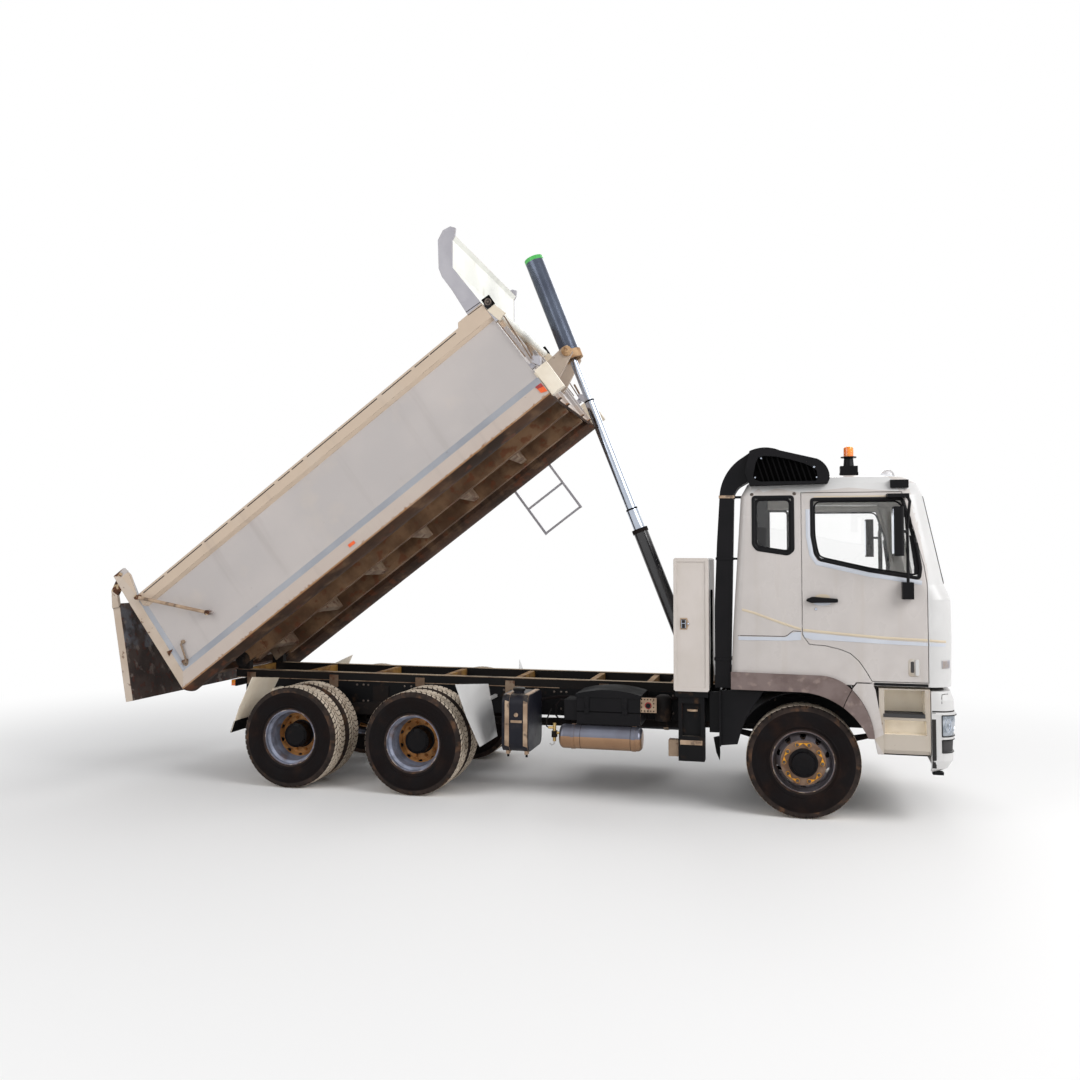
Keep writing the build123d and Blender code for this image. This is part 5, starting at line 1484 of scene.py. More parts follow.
    def gate_side(self, spot: Vector, normal: Vector) -> Finish:
        """Tailgate: dark skin, cream edge, light arms and rusty pins, with painted sky reflection on their
        upward faces.

        Args:
            spot: Middle of the face.
            normal: Its outward normal.

        Returns:
            Its finish.
        """
        outward = normal.y * math.copysign(1.0, spot.y)
        if spot.z > 1.25 and abs(spot.y) > 1.13:
            # Painted sky reflection on upward faces at the gate's top corners.
            return TRAY_SKY_REFLECTION if normal.z > 0.3 and spot.z > 1.44 else RUSTED
        if spot.z > 1.131:
            return POST_CREAM
        return POST_CREAM if outward > 0.5 and abs(spot.y) > 1.15 else GATE_STEEL

    def cover_side(self, spot: Vector, normal: Vector) -> Finish:
        """Green round the cap at the cover's top."""
        return CAP_GREEN if spot.z > 5.001 and abs(normal.z) < 0.5 else COVER_PAINTED_SHEEN

    def lamp(self, spot: Vector, normal: Vector) -> Finish:
        """Headlamp, dark fog lamp, and red and amber tail lamps."""
        tail = AMBER_GLASS if abs(spot.y) > 0.58 else RED_GLASS
        return tail if spot.x < 0 else DASH_GREY if spot.z < 0.78 else LAMP_REFLECTOR

    def beacon_side(self, spot: Vector, normal: Vector) -> Finish:
        """Amber glass on a black stand."""
        return AMBER_GLASS if spot.z > 3.339 else BLACK_PLASTIC

    def fitting_side(self, spot: Vector, normal: Vector) -> Finish:
        """Clear dome on the roof, and a black bracket on its right edge."""
        return LAMP_GLASS if spot.y > -1.0 else BLACK_PLASTIC

    def intake_side(self, spot: Vector, normal: Vector) -> Finish:
        """Black housing, blacker mouth and one pale clamp.

        Args:
            spot: Middle of the face.
            normal: Its outward normal; not used.

        Returns:
            Its finish.
        """
        mouth = -0.43 < spot.x < 0.16 and -1.16 < spot.y < -1.06 and spot.z < 3.3
        clamp = 2.909 < spot.z < 2.939 and spot.x < -0.59
        return STRAP_BEIGE if clamp else DEEP_BLACK if mouth else BLACK_PLASTIC

    def air_side(self, spot: Vector, normal: Vector) -> Finish:
        """Air tank: painted reflections, sky grey on faces turned up and warm ground brown on the rest."""
        return TANK_SKY_REFLECTION if normal.z > 0.12 else TANK_GROUND_REFLECTION

    def battery_side(self, spot: Vector, normal: Vector) -> Finish:
        """Pale panel that carries the isolator, and a dark lid.

        Args:
            spot: Middle of the face.
            normal: Its outward normal.

        Returns:
            Its finish.
        """
        panel = -1.5025 < spot.x < -1.344 and -1.001 < spot.y < -0.987 and spot.z < 1.013
        lid = normal.z > 0.15 and spot.x < -1.45
        return DEEP_BLACK if lid else STRAP_BEIGE if panel else BLACK_PLASTIC

    def tank_side(self, spot: Vector, normal: Vector) -> Finish:
        """Pale straps round the tanks.

        Args:
            spot: Middle of the face.
            normal: Its outward normal.

        Returns:
            Its finish.
        """
        places = OIL_STRAPS if spot.y < 0 else FUEL_STRAPS
        near = any(abs(spot.x - x) < 0.026 for x in places)
        low, high = (0.4699, 1.015) if spot.y < 0 else (0.4499, 1.01)
        flat = low < spot.z < high and 0.62 < abs(spot.y) < (1.18 if spot.y < 0 else 1.13)
        return STRAP_BEIGE if near and not (flat and abs(normal.x) < 0.5) else TANK_BLUE

    def step_side(self, spot: Vector, normal: Vector) -> Finish:
        """Warm step box, painted sunlight in its shaded recess, and the wing's tail as the cab."""
        recess = 0.69 < spot.x < 1.052 and abs(spot.y) < 1.19 and spot.z > 0.7
        return CAB_PAINT if spot.x < 0.655 else CREAM_AND_SUNLIT_PAINT if recess else STEP_PAINT_AND_SHADE

    def wheel(self, axle: str, side: Side) -> None:
        """Dress a wheel by the distance from its axis: flange, dish, disc and hub.

        Args:
            axle: Name of the axle.
            side: Side of the vehicle.
        """
        node = f"wheel_{axle}_{side}"
        low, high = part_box(node)
        centre = (low + high) / 2
        hub_reach = 0.143
        disc_reach = 0.201 if axle == "front" else 0.222
        rim, disc = (RIM_STEEL, RUSTY_RIM) if axle == "front" else (DARK_RIM, ORANGE_RIM)

        def choose(spot: Vector, normal: Vector) -> Finish:
            """Hub near the axis, then the disc, then the rim."""
            reach = math.hypot(spot.x - centre.x, spot.z - centre.z)
            return HUB_BLACK if reach < hub_reach else disc if reach < disc_reach else rim

        dress(node, rim, disc, HUB_BLACK, choose=choose, axes=Matrix.Identity(4))


@dataclass
class WheelTrim:
    """Wheel nuts, their pointers, hub bolts and the line round the flange."""

    nut_circle: float = 0.1675
    nuts: int = 10
    nut_radius: float = 0.0165
    front_face: float = 1.19
    rear_face: float = 0.946
    hub_bolts: int = 8

    def build(self) -> None:
        """Dress all six wheels."""
        for axle, side in WHEELS:
            self.wheel(axle, side)

    def wheel(self, axle: str, side: Side) -> None:
        """Add the nuts of one wheel.

        Args:
            axle: Name of the axle.
            side: Side of the vehicle.
        """
        x, _, z = JOINTS[f"roll_{axle}_{side}"]["pos_m"]
        front = axle == "front"
        face = self.front_face if front else self.rear_face
        draft = Draft(mirrored(Matrix.Translation((x, 0, z)), side))
        for k, angle in enumerate(turns(self.nuts)):
            spot = (self.nut_circle * math.cos(angle), face, self.nut_circle * math.sin(angle))
            draft.paint = 0
            radius = self.nut_radius
            draft.lathe([(radius, -0.002), (radius, 0.017), (0.8 * radius, 0.02)], spot, OUT, 6)
            draft.lathe([(0.009, 0.018), (0.009, 0.028), (0.007, 0.03)], spot, OUT, 10)
            if front:
                draft.paint = 1
                self.pointer(draft, spot, angle + (math.pi / 2 if k % 2 == 0 else -math.pi / 2))
        draft.paint = 2
        reach, seat = (0.117, 1.203) if front else (0.108, 1.088)
        for k in range(self.hub_bolts):
            angle = 2 * math.pi * (k + 0.5) / self.hub_bolts
            spot = (reach * math.cos(angle), seat, reach * math.sin(angle))
            draft.lathe([(0.009, -0.006), (0.009, 0.008), (0.007, 0.01)], spot, OUT, 6)
        draft.paint = 3
        edge = (1.03 if front else 1.095) + 0.1085
        draft.hollow(0.2745, 0.2785, edge, edge + 0.0022, (0, 0, 0), OUT)
        nut = STEEL_NUT if front else RUSTY_NUT
        draft.made(f"nuts_{axle}_{side}", f"wheel_{axle}_{side}", nut, POINTER_YELLOW, HUB_BLACK, RUSTED)

    def pointer(self, draft: Draft, spot: Place, heading: float) -> None:
        """Add the flat pointer of one nut.

        Args:
            draft: Mesh to add to.
            spot: The nut's foot.
            heading: Direction in which it points.
        """
        x, face, z = spot
        outline = [(0.054, heading)]
        outline += [(0.0195, heading + angle) for angle in spread(0.75, 2 * math.pi - 0.75, 13)]
        points = [(x + reach * math.cos(turn), z + reach * math.sin(turn)) for reach, turn in outline]
        draft.prism(points, face + 0.004, face + 0.009)


DOOR_WINDOW = [
    (0.108, 2.88), (0.108, 2.56), (0.135, 2.4), (0.165, 2.35), (0.595, 2.252), (1.0, 2.19),
    (1.012, 2.27), (0.962, 2.61), (0.868, 2.88),
]
QUARTER_WINDOW = [
    (-0.415, 2.905), (-0.415, 2.48), (-0.385, 2.44), (-0.12, 2.4), (-0.082, 2.43), (-0.082, 2.905),
]
SCREEN = [(-1.0, 2.15), (1.0, 2.15), (0.935, 2.9), (-0.935, 2.9)]
REAR_WINDOW = [(-0.56, 2.35), (0.56, 2.35), (0.56, 2.78), (-0.56, 2.78)]
CREASE = [
    (-0.536, 1.88), (-0.433, 1.854), (-0.228, 1.78), (-0.093, 1.734), (0.005, 1.704), (0.307, 1.678),
    (0.698, 1.648), (1.082, 1.633), (1.23, 1.62),
]
BAND_TOP = [
    (-0.579, 1.632), (-0.141, 1.634), (-0.086, 1.682), (0.004, 1.684), (0.306, 1.66), (0.698, 1.628),
    (1.082, 1.61), (1.23, 1.604),
]
BAND_FOOT = [
    (-0.579, 1.6), (-0.121, 1.604), (0.04, 1.618), (0.306, 1.612), (0.698, 1.594), (1.081, 1.583),
    (1.23, 1.58),
]


@dataclass
class CabTrim:
    """Seals, mouldings, crease, handles, side lamps, mirrors' glass and wipers of the cab."""

    seal: float = 0.03
    screen_seal: float = 0.034
    seal_height: float = 0.007
    glass_inset: float = 0.014
    crease_height: float = 0.004
    door_span: Spot = (0.009, 1.069)
    door_crease: Spot = (0.009, 1.068)
    back_span: Spot = (-0.565, -0.009)
    back_crease: Spot = (-0.53, -0.009)
    corner_span: Spot = (1.083, 1.222)
    corner_crease: Spot = (1.083, 1.225)
    handle: tuple[Spot, ...] = (
        (0.04, 1.979), (0.084, 2.004), (0.111, 2.005), (0.314, 1.989), (0.314, 1.955), (0.084, 1.949),
        (0.039, 1.965),
    )
    side_lamp: tuple[float, float] = (1.186, 1.256)

    def build(self) -> None:
        """Dress both sides, the front and the back."""
        for side in Side:
            self.door(side)
            self.handle_set(side)
            self.shell_side(side)
            self.mirror(side)
        self.ends()
        self.wipers()

    def window_edge(self, draft: Draft, seats: list[Seat], width: float) -> None:
        """Add the rubber round a window, which reaches down to the glass."""
        draft.bead(seats, width, self.seal_height, closed=True, depth=self.glass_inset)

    def door(self, side: Side) -> None:
        """Add a door's seals, moulding and band in painted sky reflection, and crease in painted sunlit
        highlight.

        Args:
            side: Side of the vehicle.
        """
        skin = Skin(f"door_{side}")
        glass = Skin(f"door_glass_{side}")
        body = f"door_{side}"
        seal = Draft()
        outer = spaced(rounded(grown(DOOR_WINDOW, 0.01), 0.02), 0.08)
        self.window_edge(seal, skin.side_seats(outer, side), self.seal)
        inner = spaced(rounded(grown(DOOR_WINDOW, -0.012), 0.06), 0.08)
        seal.bead(glass.side_seats(inner, side), 0.016, 0.008, closed=True)
        bar = [(0.921, 2.215), (0.922, 2.45), (0.912, 2.72), (0.89, 2.868)]
        seal.bead(glass.side_seats(bar, side), 0.022, 0.01)
        front = [(0.985, 2.215), (0.987, 2.28), (0.952, 2.56)]
        seal.bead(glass.side_seats(front, side), 0.036, 0.006)
        seal.made(f"window_seal_{side}", body, BLACK_PLASTIC)
        # Moulding and band in painted sky reflection.
        moulding = Draft()
        edge = grown(DOOR_WINDOW, 0.046)
        frame_line = [(0.062, 2.8)] + edge[1:5] + [(1.03, 2.138)]
        moulding.bead(skin.side_seats(frame_line, side), 0.038, 0.005)
        self.band(moulding, skin, side, self.door_span)
        # Top line and crease in painted sunlit highlight.
        moulding.paint = 1
        moulding.bead(skin.side_seats([(x, 2.914) for x in (0.12, 0.5, 0.83)], side), 0.012, 0.003)
        line = traced(CREASE, *self.door_crease, 16)
        moulding.bead(skin.side_seats(line, side), 0.022, self.crease_height)
        moulding.made(f"door_moulding_{side}", body, SKY_REFLECTION_PAINT, SUNLIT_HIGHLIGHT)

    def band(self, draft: Draft, skin: Skin, side: Side, span: Spot) -> None:
        """Add the band under the crease, where the lower panel steps out; callers draw it in painted sky
        reflection.

        Args:
            draft: Mesh to add to.
            skin: Surface that carries it.
            side: Side of the vehicle.
            span: Where it begins and ends, forward of the front axle.
        """
        rows = [skin.side_seats(traced(line, *span, 14), side) for line in (BAND_TOP, BAND_FOOT)]
        draft.panel(rows, 0.003)

    def handle_set(self, side: Side) -> None:
        """Add a door's handle, lock, handle recess and grab recess, the recesses with painted light and
        shade.

        Args:
            side: Side of the vehicle.
        """
        skin = Skin(f"door_{side}")
        body = f"door_{side}"
        (middle, _), = skin.side_seats([(0.2, 1.97)], side)
        face = abs(middle.y)
        place = mirrored(CHASSIS_AXES, side)
        handle = Draft(place)
        handle.prism(list(self.handle), face + 0.012, face + 0.036)
        handle.block((0.05, face - 0.004, 1.962), (0.08, face + 0.014, 1.992))
        handle.block((0.276, face - 0.004, 1.96), (0.306, face + 0.014, 1.986))
        handle.made(f"handle_{side}", body, BLACK_PLASTIC, edge=0.006)
        lock = Draft()
        lock.stud(skin.side_seats([(0.124, 1.893)], side)[0], 0.012, 0.007)
        lock.made(f"lock_{side}", body, CHROME)
        # Recess round the handle in painted light: sunlit highlight in the upper oval, sky reflection in the
        # lower.
        recess = Draft(place)
        recess.prism(oval((0.184, 2.006), 0.064, 0.022), face - 0.003, face + 0.0015)
        recess.paint = 1
        recess.prism(oval((0.18, 1.944), 0.074, 0.018), face - 0.003, face + 0.0012)
        recess.made(f"handle_recess_{side}", body, SUNLIT_HIGHLIGHT, SKY_REFLECTION_PAINT)
        (middle, _), = skin.side_seats([(0.95, 1.39)], side)
        face = abs(middle.y)
        # Grab recess: plate in painted shade, white bar, and a dark grey patch as painted shade in its slot.
        grab = Draft(place)
        for paint, low, high, radius, sunk, proud in (
            (0, (0.904, 1.312), (1.0, 1.47), 0.03, 0.003, 0.0015),
            (1, (0.962, 1.322), (0.992, 1.462), 0.014, 0.0, 0.014),
            (2, (0.924, 1.345), (0.952, 1.445), 0.012, 0.0, 0.003),
        ):
            grab.paint = paint
            grab.prism(rounded(rectangle(low, high), radius), face - sunk, face + proud)
        grab.made(f"grab_{side}", body, STEP_PAINT_AND_SHADE, WHITE_AND_SUNLIT_PAINT, DASH_GREY, edge=0.002)

    def shell_side(self, side: Side) -> None:
        """Add the trim of the cab's fixed side.

        Args:
            side: Side of the vehicle.
        """
        skin = Skin("cab_shell")
        glass = Skin("cab_glass")
        seal = Draft()
        outer = spaced(rounded(grown(QUARTER_WINDOW, 0.01), 0.02), 0.08)
        self.window_edge(seal, skin.side_seats(outer, side), self.seal)
        inner = spaced(rounded(grown(QUARTER_WINDOW, -0.012), 0.05), 0.08)
        seal.bead(glass.side_seats(inner, side), 0.026, 0.008, closed=True)
        rows = [glass.side_seats([(-0.411, z), (-0.294, z)], side) for z in (2.455, 2.68, 2.895)]
        seal.panel(rows, -0.0075, 0.016)
        sill = [skin.side_seats([(x, z) for x in spread(0.615, 1.068, 4)], side) for z in (1.226, 1.249)]
        seal.panel(sill, 0.005)
        seal.made(f"side_seal_{side}", "cab", BLACK_PLASTIC)
        seam = Draft()
        line = traced([(-0.579, 1.641), (-0.141, 1.642), (-0.08, 1.693), (-0.004, 1.69)], -0.57, -0.006, 24)
        seam.bead(skin.side_seats(line, side), 0.006, 0.001)
        seam.made(f"wing_seam_{side}", "cab", SEAM_DARK)
        # Bands in painted sky reflection, creases in painted sunlit highlight.
        paint = Draft()
        self.band(paint, skin, side, self.back_span)
        self.band(paint, skin, side, self.corner_span)
        paint.paint = 1
        line = traced(CREASE, *self.back_crease, 10)
        paint.bead(skin.side_seats(line, side), 0.022, self.crease_height)
        line = traced(CREASE, *self.corner_crease, 8)
        paint.bead(skin.side_seats(line, side), 0.02, self.crease_height)
        paint.made(f"cab_band_{side}", "cab", SKY_REFLECTION_PAINT, SUNLIT_HIGHLIGHT)
        lamp = Draft()
        places = spread(*self.side_lamp, 8)
        rows = [skin.side_seats([(x, z) for x in places], side) for z in (1.388, 1.456)]
        lamp.panel(rows, 0.008)
        for x in places[1:-1]:
            lamp.bead(skin.side_seats([(x, 1.394), (x, 1.45)], side), 0.004, 0.011)
        lamp.made(f"side_lamp_{side}", "cab", HEAD_PAINT)
        plug = Draft()
        for seat in skin.side_seats([(-0.438, 2.941), (-0.055, 2.944)], side):
            plug.stud(seat, 0.017, 0.003)
        plug.made(f"plugs_{side}", "cab", STEEL_NUT)

    def ends(self) -> None:
        """Add the seals of the windscreen and of the rear window."""
        skin = Skin("cab_shell")
        for name, outline, way in (("screen", SCREEN, 1), ("rear", REAR_WINDOW, -1)):
            draft = Draft()
            line = spaced(rounded(grown(outline, 0.01), 0.02), 0.08)
            self.window_edge(draft, skin.end_seats(line, way), self.screen_seal)
            draft.made(f"{name}_seal", "cab", BLACK_PLASTIC)

    def wipers(self) -> None:
        """Add two wipers parked along the foot of the windscreen."""
        skin = Skin("cab_shell", "cab_glass")
        draft = Draft()
        for pivot in (0.72, -0.08):
            spots = [(pivot, 2.105), (pivot - 0.2, 2.175), (pivot - 0.42, 2.225)]
            seats = skin.end_seats(spots, 1)
            draft.stud(seats[0], 0.02, 0.026)
            draft.rod([tuple(spot + normal * 0.022) for spot, normal in seats], 0.006)
            blade = skin.end_seats([(pivot - 0.12, 2.185), (pivot - 0.42, 2.215), (pivot - 0.72, 2.235)], 1)
            draft.rod([tuple(spot + normal * 0.01) for spot, normal in blade], 0.009)
        draft.made("wipers", "cab", BLACK_PLASTIC)

    def mirror(self, side: Side) -> None:
        """Add the glass on the back of a mirror's head.

        Args:
            side: Side of the vehicle.
        """
        glass = Draft(mirrored(CHASSIS_AXES, side))
        glass.block((0.7695, 1.328, 2.392), (0.774, 1.482, 2.784))
        glass.made(f"mirror_glass_{side}", f"door_{side}", MIRROR_GLASS, edge=0.002)


@dataclass
class FrontTrim:
    """Bumper's lines, lamp rims, bars of the air opening, and the screws of the intake's mouth."""

    corner: float = 0.15
    front: float = 1.33
    half: float = 1.2
    bow: float = 0.03
    screws: tuple[Spot, ...] = ((-0.35, 3.277), (0.122, 3.185), (-0.406, 3.102), (0.147, 3.093))

    def build(self) -> None:
        """Add the trim of both corners and of the middle."""
        for side in Side:
            self.corner_trim(side)
        self.middle()
        studs = Draft()
        for seat in Skin("roof_intake").side_seats(list(self.screws), Side.RIGHT):
            studs.stud(seat, 0.009, 0.004)
        studs.made("intake_screws", "cab", CHROME)

    def wrap(self, skin: Skin, z: float, side: Side, start: float, end: float) -> list[Seat]:
        """Seats round a front corner at one height.

        Args:
            skin: Surface that carries them.
            z: Their height.
            side: Side of the vehicle.
            start: Place on the side, forward of the front axle.
            end: Place on the front, by its distance from the middle.

        Returns:
            Points from the side round to the front.
        """
        turn_x = self.front - self.bow - self.corner
        turn_y = self.half - self.corner
        out = side.value
        spots = []
        if start < turn_x:
            spots += skin.side_seats([(x, z) for x in spread(start, turn_x, 4)[:-1]], side)
        first = math.asin(max(0.0, min(1.0, (start - turn_x) / self.corner)))
        for angle in spread(first, math.pi / 2, 10):
            way = Vector((math.sin(angle), out * math.cos(angle), 0))
            spots.append(skin.seat(Vector((FRONT_X + turn_x, out * turn_y, z)) + way, -way))
        for y in spread(turn_y, end, 6)[1:]:
            spots.append(skin.seat(Vector((FRONT_X + 3.0, out * y, z)), Vector((-1, 0, 0))))
        return spots

    def corner_trim(self, side: Side) -> None:
        """Add a corner's ledge line, pocket line, lamp rims and end strip.

        Args:
            side: Side of the vehicle.
        """
        skin = Skin("bumper", "lamps")
        dark = Draft()
        dark.bead(self.wrap(skin, 1.012, side, 1.098, 0.0), 0.012, 0.002)
        pocket = [(1.238, 1.162), (1.205, 1.162), (1.184, 1.158), (1.18, 1.13), (1.18, 1.08)]
        dark.bead(skin.side_seats(pocket, side), 0.006, 0.002)
        end = [skin.side_seats([(x, z) for z in spread(0.52, 1.0, 6)], side) for x in (1.0925, 1.11, 1.127)]
        dark.panel(end, 0.003)
        dark.made(f"bumper_lines_{side}", "chassis", SEAM_DARK)
        strip = Draft(mirrored(CHASSIS_AXES, side))
        strip.block((1.1, 1.1, 0.458), (1.19, 1.168, 0.485))
        strip.made(f"bumper_end_{side}", "chassis", BLACK_PLASTIC, edge=0.002)
        rim = Draft()
        for top, foot, inner in ((0.979, 0.796, 0.897), (0.766, 0.656, 0.957)):
            for z in (top, foot):
                rim.bead(self.wrap(skin, z, side, 1.179, inner), 0.009, 0.005)
            rim.bead(skin.side_seats([(1.178, foot), (1.178, top)], side), 0.009, 0.005)
            post = skin.end_seats([(side.value * inner, foot), (side.value * inner, top)], 1)
            rim.bead(post, 0.009, 0.005)
        rim.made(f"lamp_rims_{side}", "chassis", BLACK_PLASTIC)
        lens = Draft()
        for y, radius in ((0.985, 0.062), (1.11, 0.055)):
            ring = [(side.value * across, z) for across, z in oval((y, 0.888), radius, radius)]
            seats = skin.end_seats(ring, 1)
            lens.bead(seats, 0.006, 0.003, closed=True)
        seats = skin.side_seats(oval((1.232, 0.89), 0.026, 0.055), side)
        lens.bead(seats, 0.006, 0.003, closed=True)
        lens.made(f"lamp_rings_{side}", "chassis", CHROME)

    def middle(self) -> None:
        """Add bars across the bumper's air opening."""
        bars = Draft(CHASSIS_AXES)
        for z in (0.735, 0.775, 0.815, 0.855):
            bars.block((1.262, -0.565, z - 0.008), (1.285, 0.565, z + 0.008))
        bars.made("bumper_bars", "chassis", BLACK_PLASTIC)


@dataclass
class StepTrim:
    """Treads, dark foot and seam line of the steps."""

    def build(self) -> None:
        """Dress the steps on both sides."""
        for side in Side:
            tread = Draft(mirrored(CHASSIS_AXES, side))
            tread.block((0.69, 1.19, 0.95), (1.04, 1.201, 0.979))
            tread.block((0.7, 1.012, 0.974), (1.04, 1.198, 0.98))
            for x in spread(0.715, 1.025, 16):
                for y in spread(1.03, 1.18, 7):
                    tread.block((x - 0.005, y - 0.005, 0.979), (x + 0.005, y + 0.005, 0.983))
            tread.made(f"treads_{side}", "chassis", DASH_GREY)
            foot = Draft(mirrored(CHASSIS_AXES, side))
            foot.block((0.662, 1.14, 0.614), (1.08, 1.158, 0.63))
            foot.made(f"step_foot_{side}", "chassis", DEEP_BLACK)
            seam = Draft()
            line = traced([(0.405, 1.229), (0.426, 1.256), (0.57, 1.258), (0.585, 1.258)], 0.41, 0.583, 12)
            seam.bead(Skin("cab_steps").side_seats(line, side), 0.005, 0.001)
            seam.made(f"step_seam_{side}", "chassis", SEAM_DARK)


@dataclass
class LockerTrim:
    """Latch of the locker and the loose hoses behind the cab."""

    face: float = 1.2

    def build(self) -> None:
        """Add the latch and the hoses."""
        latch = Draft(RIGHT_AXES)
        plate = [(-1.098, 1.683), (-1.034, 1.683), (-1.015, 1.737), (-1.034, 1.792), (-1.098, 1.792)]
        latch.prism(plate, self.face - 0.004, self.face + 0.0035)
        latch.paint = 1
        latch.prism(rectangle((-1.09, 1.694), (-1.043, 1.78)), self.face, self.face + 0.0045)
        latch.paint = 2
        y = self.face + 0.008
        ring = [(-1.084, y, 1.7), (-1.049, y, 1.7), (-1.049, y, 1.774), (-1.084, y, 1.774)]
        latch.rod(ring, 0.004, 8, closed=True)
        latch.rod([(-1.084, y, 1.742), (-1.049, y, 1.742)], 0.004, 8)
        latch.lathe([(0.009, 0.0), (0.009, 0.01), (0.006, 0.013)], (-1.024, self.face, 1.739), OUT, 12)
        latch.made("locker_latch", "chassis", STRAP_BEIGE, SEAM_DARK, CHROME)
        hoses = Draft(RIGHT_AXES)
        for base, sway, phase in ((0.985, 0.016, 0.0), (1.022, 0.012, 1.6), (0.95, 0.01, 3.0)):
            heights = enumerate(spread(1.118, 2.05, 26))
            line = [(-0.8215, base + sway * math.sin(0.8 * k + phase), z) for k, z in heights]
            hoses.rod(line, 0.0085, 8)
        hoses.made("cab_hoses", "chassis", DEEP_BLACK)


@dataclass
class TankTrim:
    """Small parts of the battery box, isolator, oil tank and air tank."""

    air_radius: float = 0.115
    air_place: Place = (0.0, 0.985, 0.616)

    def build(self) -> None:
        """Dress the tanks and the battery box."""
        self.battery()
        self.isolator()
        self.oil()
        self.air()

    def battery(self) -> None:
        """Add the lid's shadow line, two latches and a hose."""
        box = Draft(RIGHT_AXES)
        box.block((-2.122, 1.006, 0.856), (-1.498, 1.0125, 0.868))
        box.paint = 1
        for x0, x1 in ((-2.043, -1.996), (-1.673, -1.621)):
            box.block((x0, 1.008, 0.845), (x1, 1.024, 1.01))
            box.block((x0 + 0.008, 1.02, 0.9), (x1 - 0.008, 1.031, 0.95))
        box.made("battery_latches", "chassis", DEEP_BLACK, BLACK_PLASTIC, edge=0.003)
        hose = Draft(RIGHT_AXES)
        loop = [
            (-2.252, 0.94), (-2.3, 0.955), (-2.345, 0.9), (-2.352, 0.8), (-2.3, 0.735), (-2.2, 0.745),
        ]
        hose.rod([(x, 0.9, z) for x, z in loop], 0.009, 8)
        hose.made("battery_hose", "chassis", RUBBER)

    def isolator(self) -> None:
        """Add the red ring of the isolator, its holes as black discs of painted shade, and the drum behind
        it.
        """
        ring = Draft(RIGHT_AXES)
        centre = (-1.424, 0.0, 0.94)
        ring.hollow(0.0242, 0.033, 0.9995, 1.008, centre, OUT)
        # Black discs stand for the holes, as painted shade.
        ring.paint = 1
        for x in spread(-1.488, -1.372, 5):
            for z in spread(0.888, 0.996, 4):
                if math.hypot(x - centre[0], z - centre[2]) > 0.042:
                    ring.lathe([(0.0065, -0.002), (0.0065, 0.0015)], (x, 1.0, z), OUT, 10)
        ring.made("isolator_ring", "chassis", RED_GLASS, DEEP_BLACK)
        drum = Draft(RIGHT_AXES)
        profile = [(0.08, 0.0), (0.08, 0.21), (0.074, 0.222), (0.06, 0.236), (0.03, 0.246)]
        drum.lathe(profile, (-1.293, 0.86, 0.784), UP, 40)
        drum.block((-1.32, 0.42, 0.84), (-1.266, 0.8, 0.9))
        drum.made("air_drier", "chassis", CAST_STEEL)

    def oil(self) -> None:
        """Add the sight plug, blank plate, strap bolts and filler cap of the oil tank."""
        tank = Draft(RIGHT_AXES)
        tank.lathe([(0.021, -0.003), (0.021, 0.005), (0.015, 0.009)], (-2.684, 1.18, 0.828), OUT, 18)
        tank.prism(rounded(rectangle((-2.738, 0.752), (-2.626, 0.776)), 0.005), 1.178, 1.1825)
        tank.made("oil_plates", "chassis", STRAP_BEIGE)
        cap = Draft(RIGHT_AXES)
        cap.lathe([(0.062, 0.0), (0.062, 0.022), (0.05, 0.03)], (-2.7, 1.0, 1.04), UP, 28)
        for x in OIL_STRAPS:
            cap.lathe([(0.012, 0.0), (0.012, 0.04), (0.008, 0.046)], (x, 1.12, 0.418), UP, 8)
        cap.made("oil_cap", "chassis", BLACK_PLASTIC)
        hose = Draft(RIGHT_AXES)
        line = [(-2.62, 0.64, 0.9), (-2.4, 0.56, 0.93), (-1.8, 0.47, 0.94), (-1.2, 0.455, 0.94)]
        hose.rod(line, 0.016, 10)
        hose.made("oil_hose", "chassis", RUBBER)

    def air(self) -> None:
        """Add the weld lines, drain and valves of the air tank."""
        line = Draft(RIGHT_AXES)
        inner, outer = self.air_radius - 0.004, self.air_radius + 0.0012
        for x in (-2.073, -1.586):
            line.hollow(inner, outer, x - 0.002, x + 0.002, self.air_place, (1, 0, 0))
        line.made("air_tank_lines", "chassis", SEAM_DARK)
        valve = Draft(RIGHT_AXES)
        y = self.air_place[1]
        valve.rod([(-2.28, y, 0.64), (-2.345, y, 0.64)], 0.014, 10)
        valve.rod([(-2.345, y, 0.56), (-2.345, y, 0.735)], 0.017, 10)
        valve.rod([(-2.345, y, 0.69), (-2.405, y, 0.69)], 0.013, 10)
        valve.paint = 1
        valve.block((-2.368, y - 0.03, 0.6), (-2.322, y + 0.03, 0.66))
        pipe = [(-2.405, y, 0.69), (-2.425, y, 0.7), (-2.43, y - 0.02, 0.76), (-2.42, 0.8, 0.84)]
        valve.rod(pipe, 0.007, 8)
        valve.paint = 2
        drain = [(-2.345, y, 0.565), (-2.35, y, 0.535), (-2.372, y, 0.52), (-2.395, y, 0.535)]
        valve.rod(drain, 0.006, 8)
        valve.made("air_valves", "chassis", BRASS, CAST_STEEL, WHITE_AND_SUNLIT_PAINT)


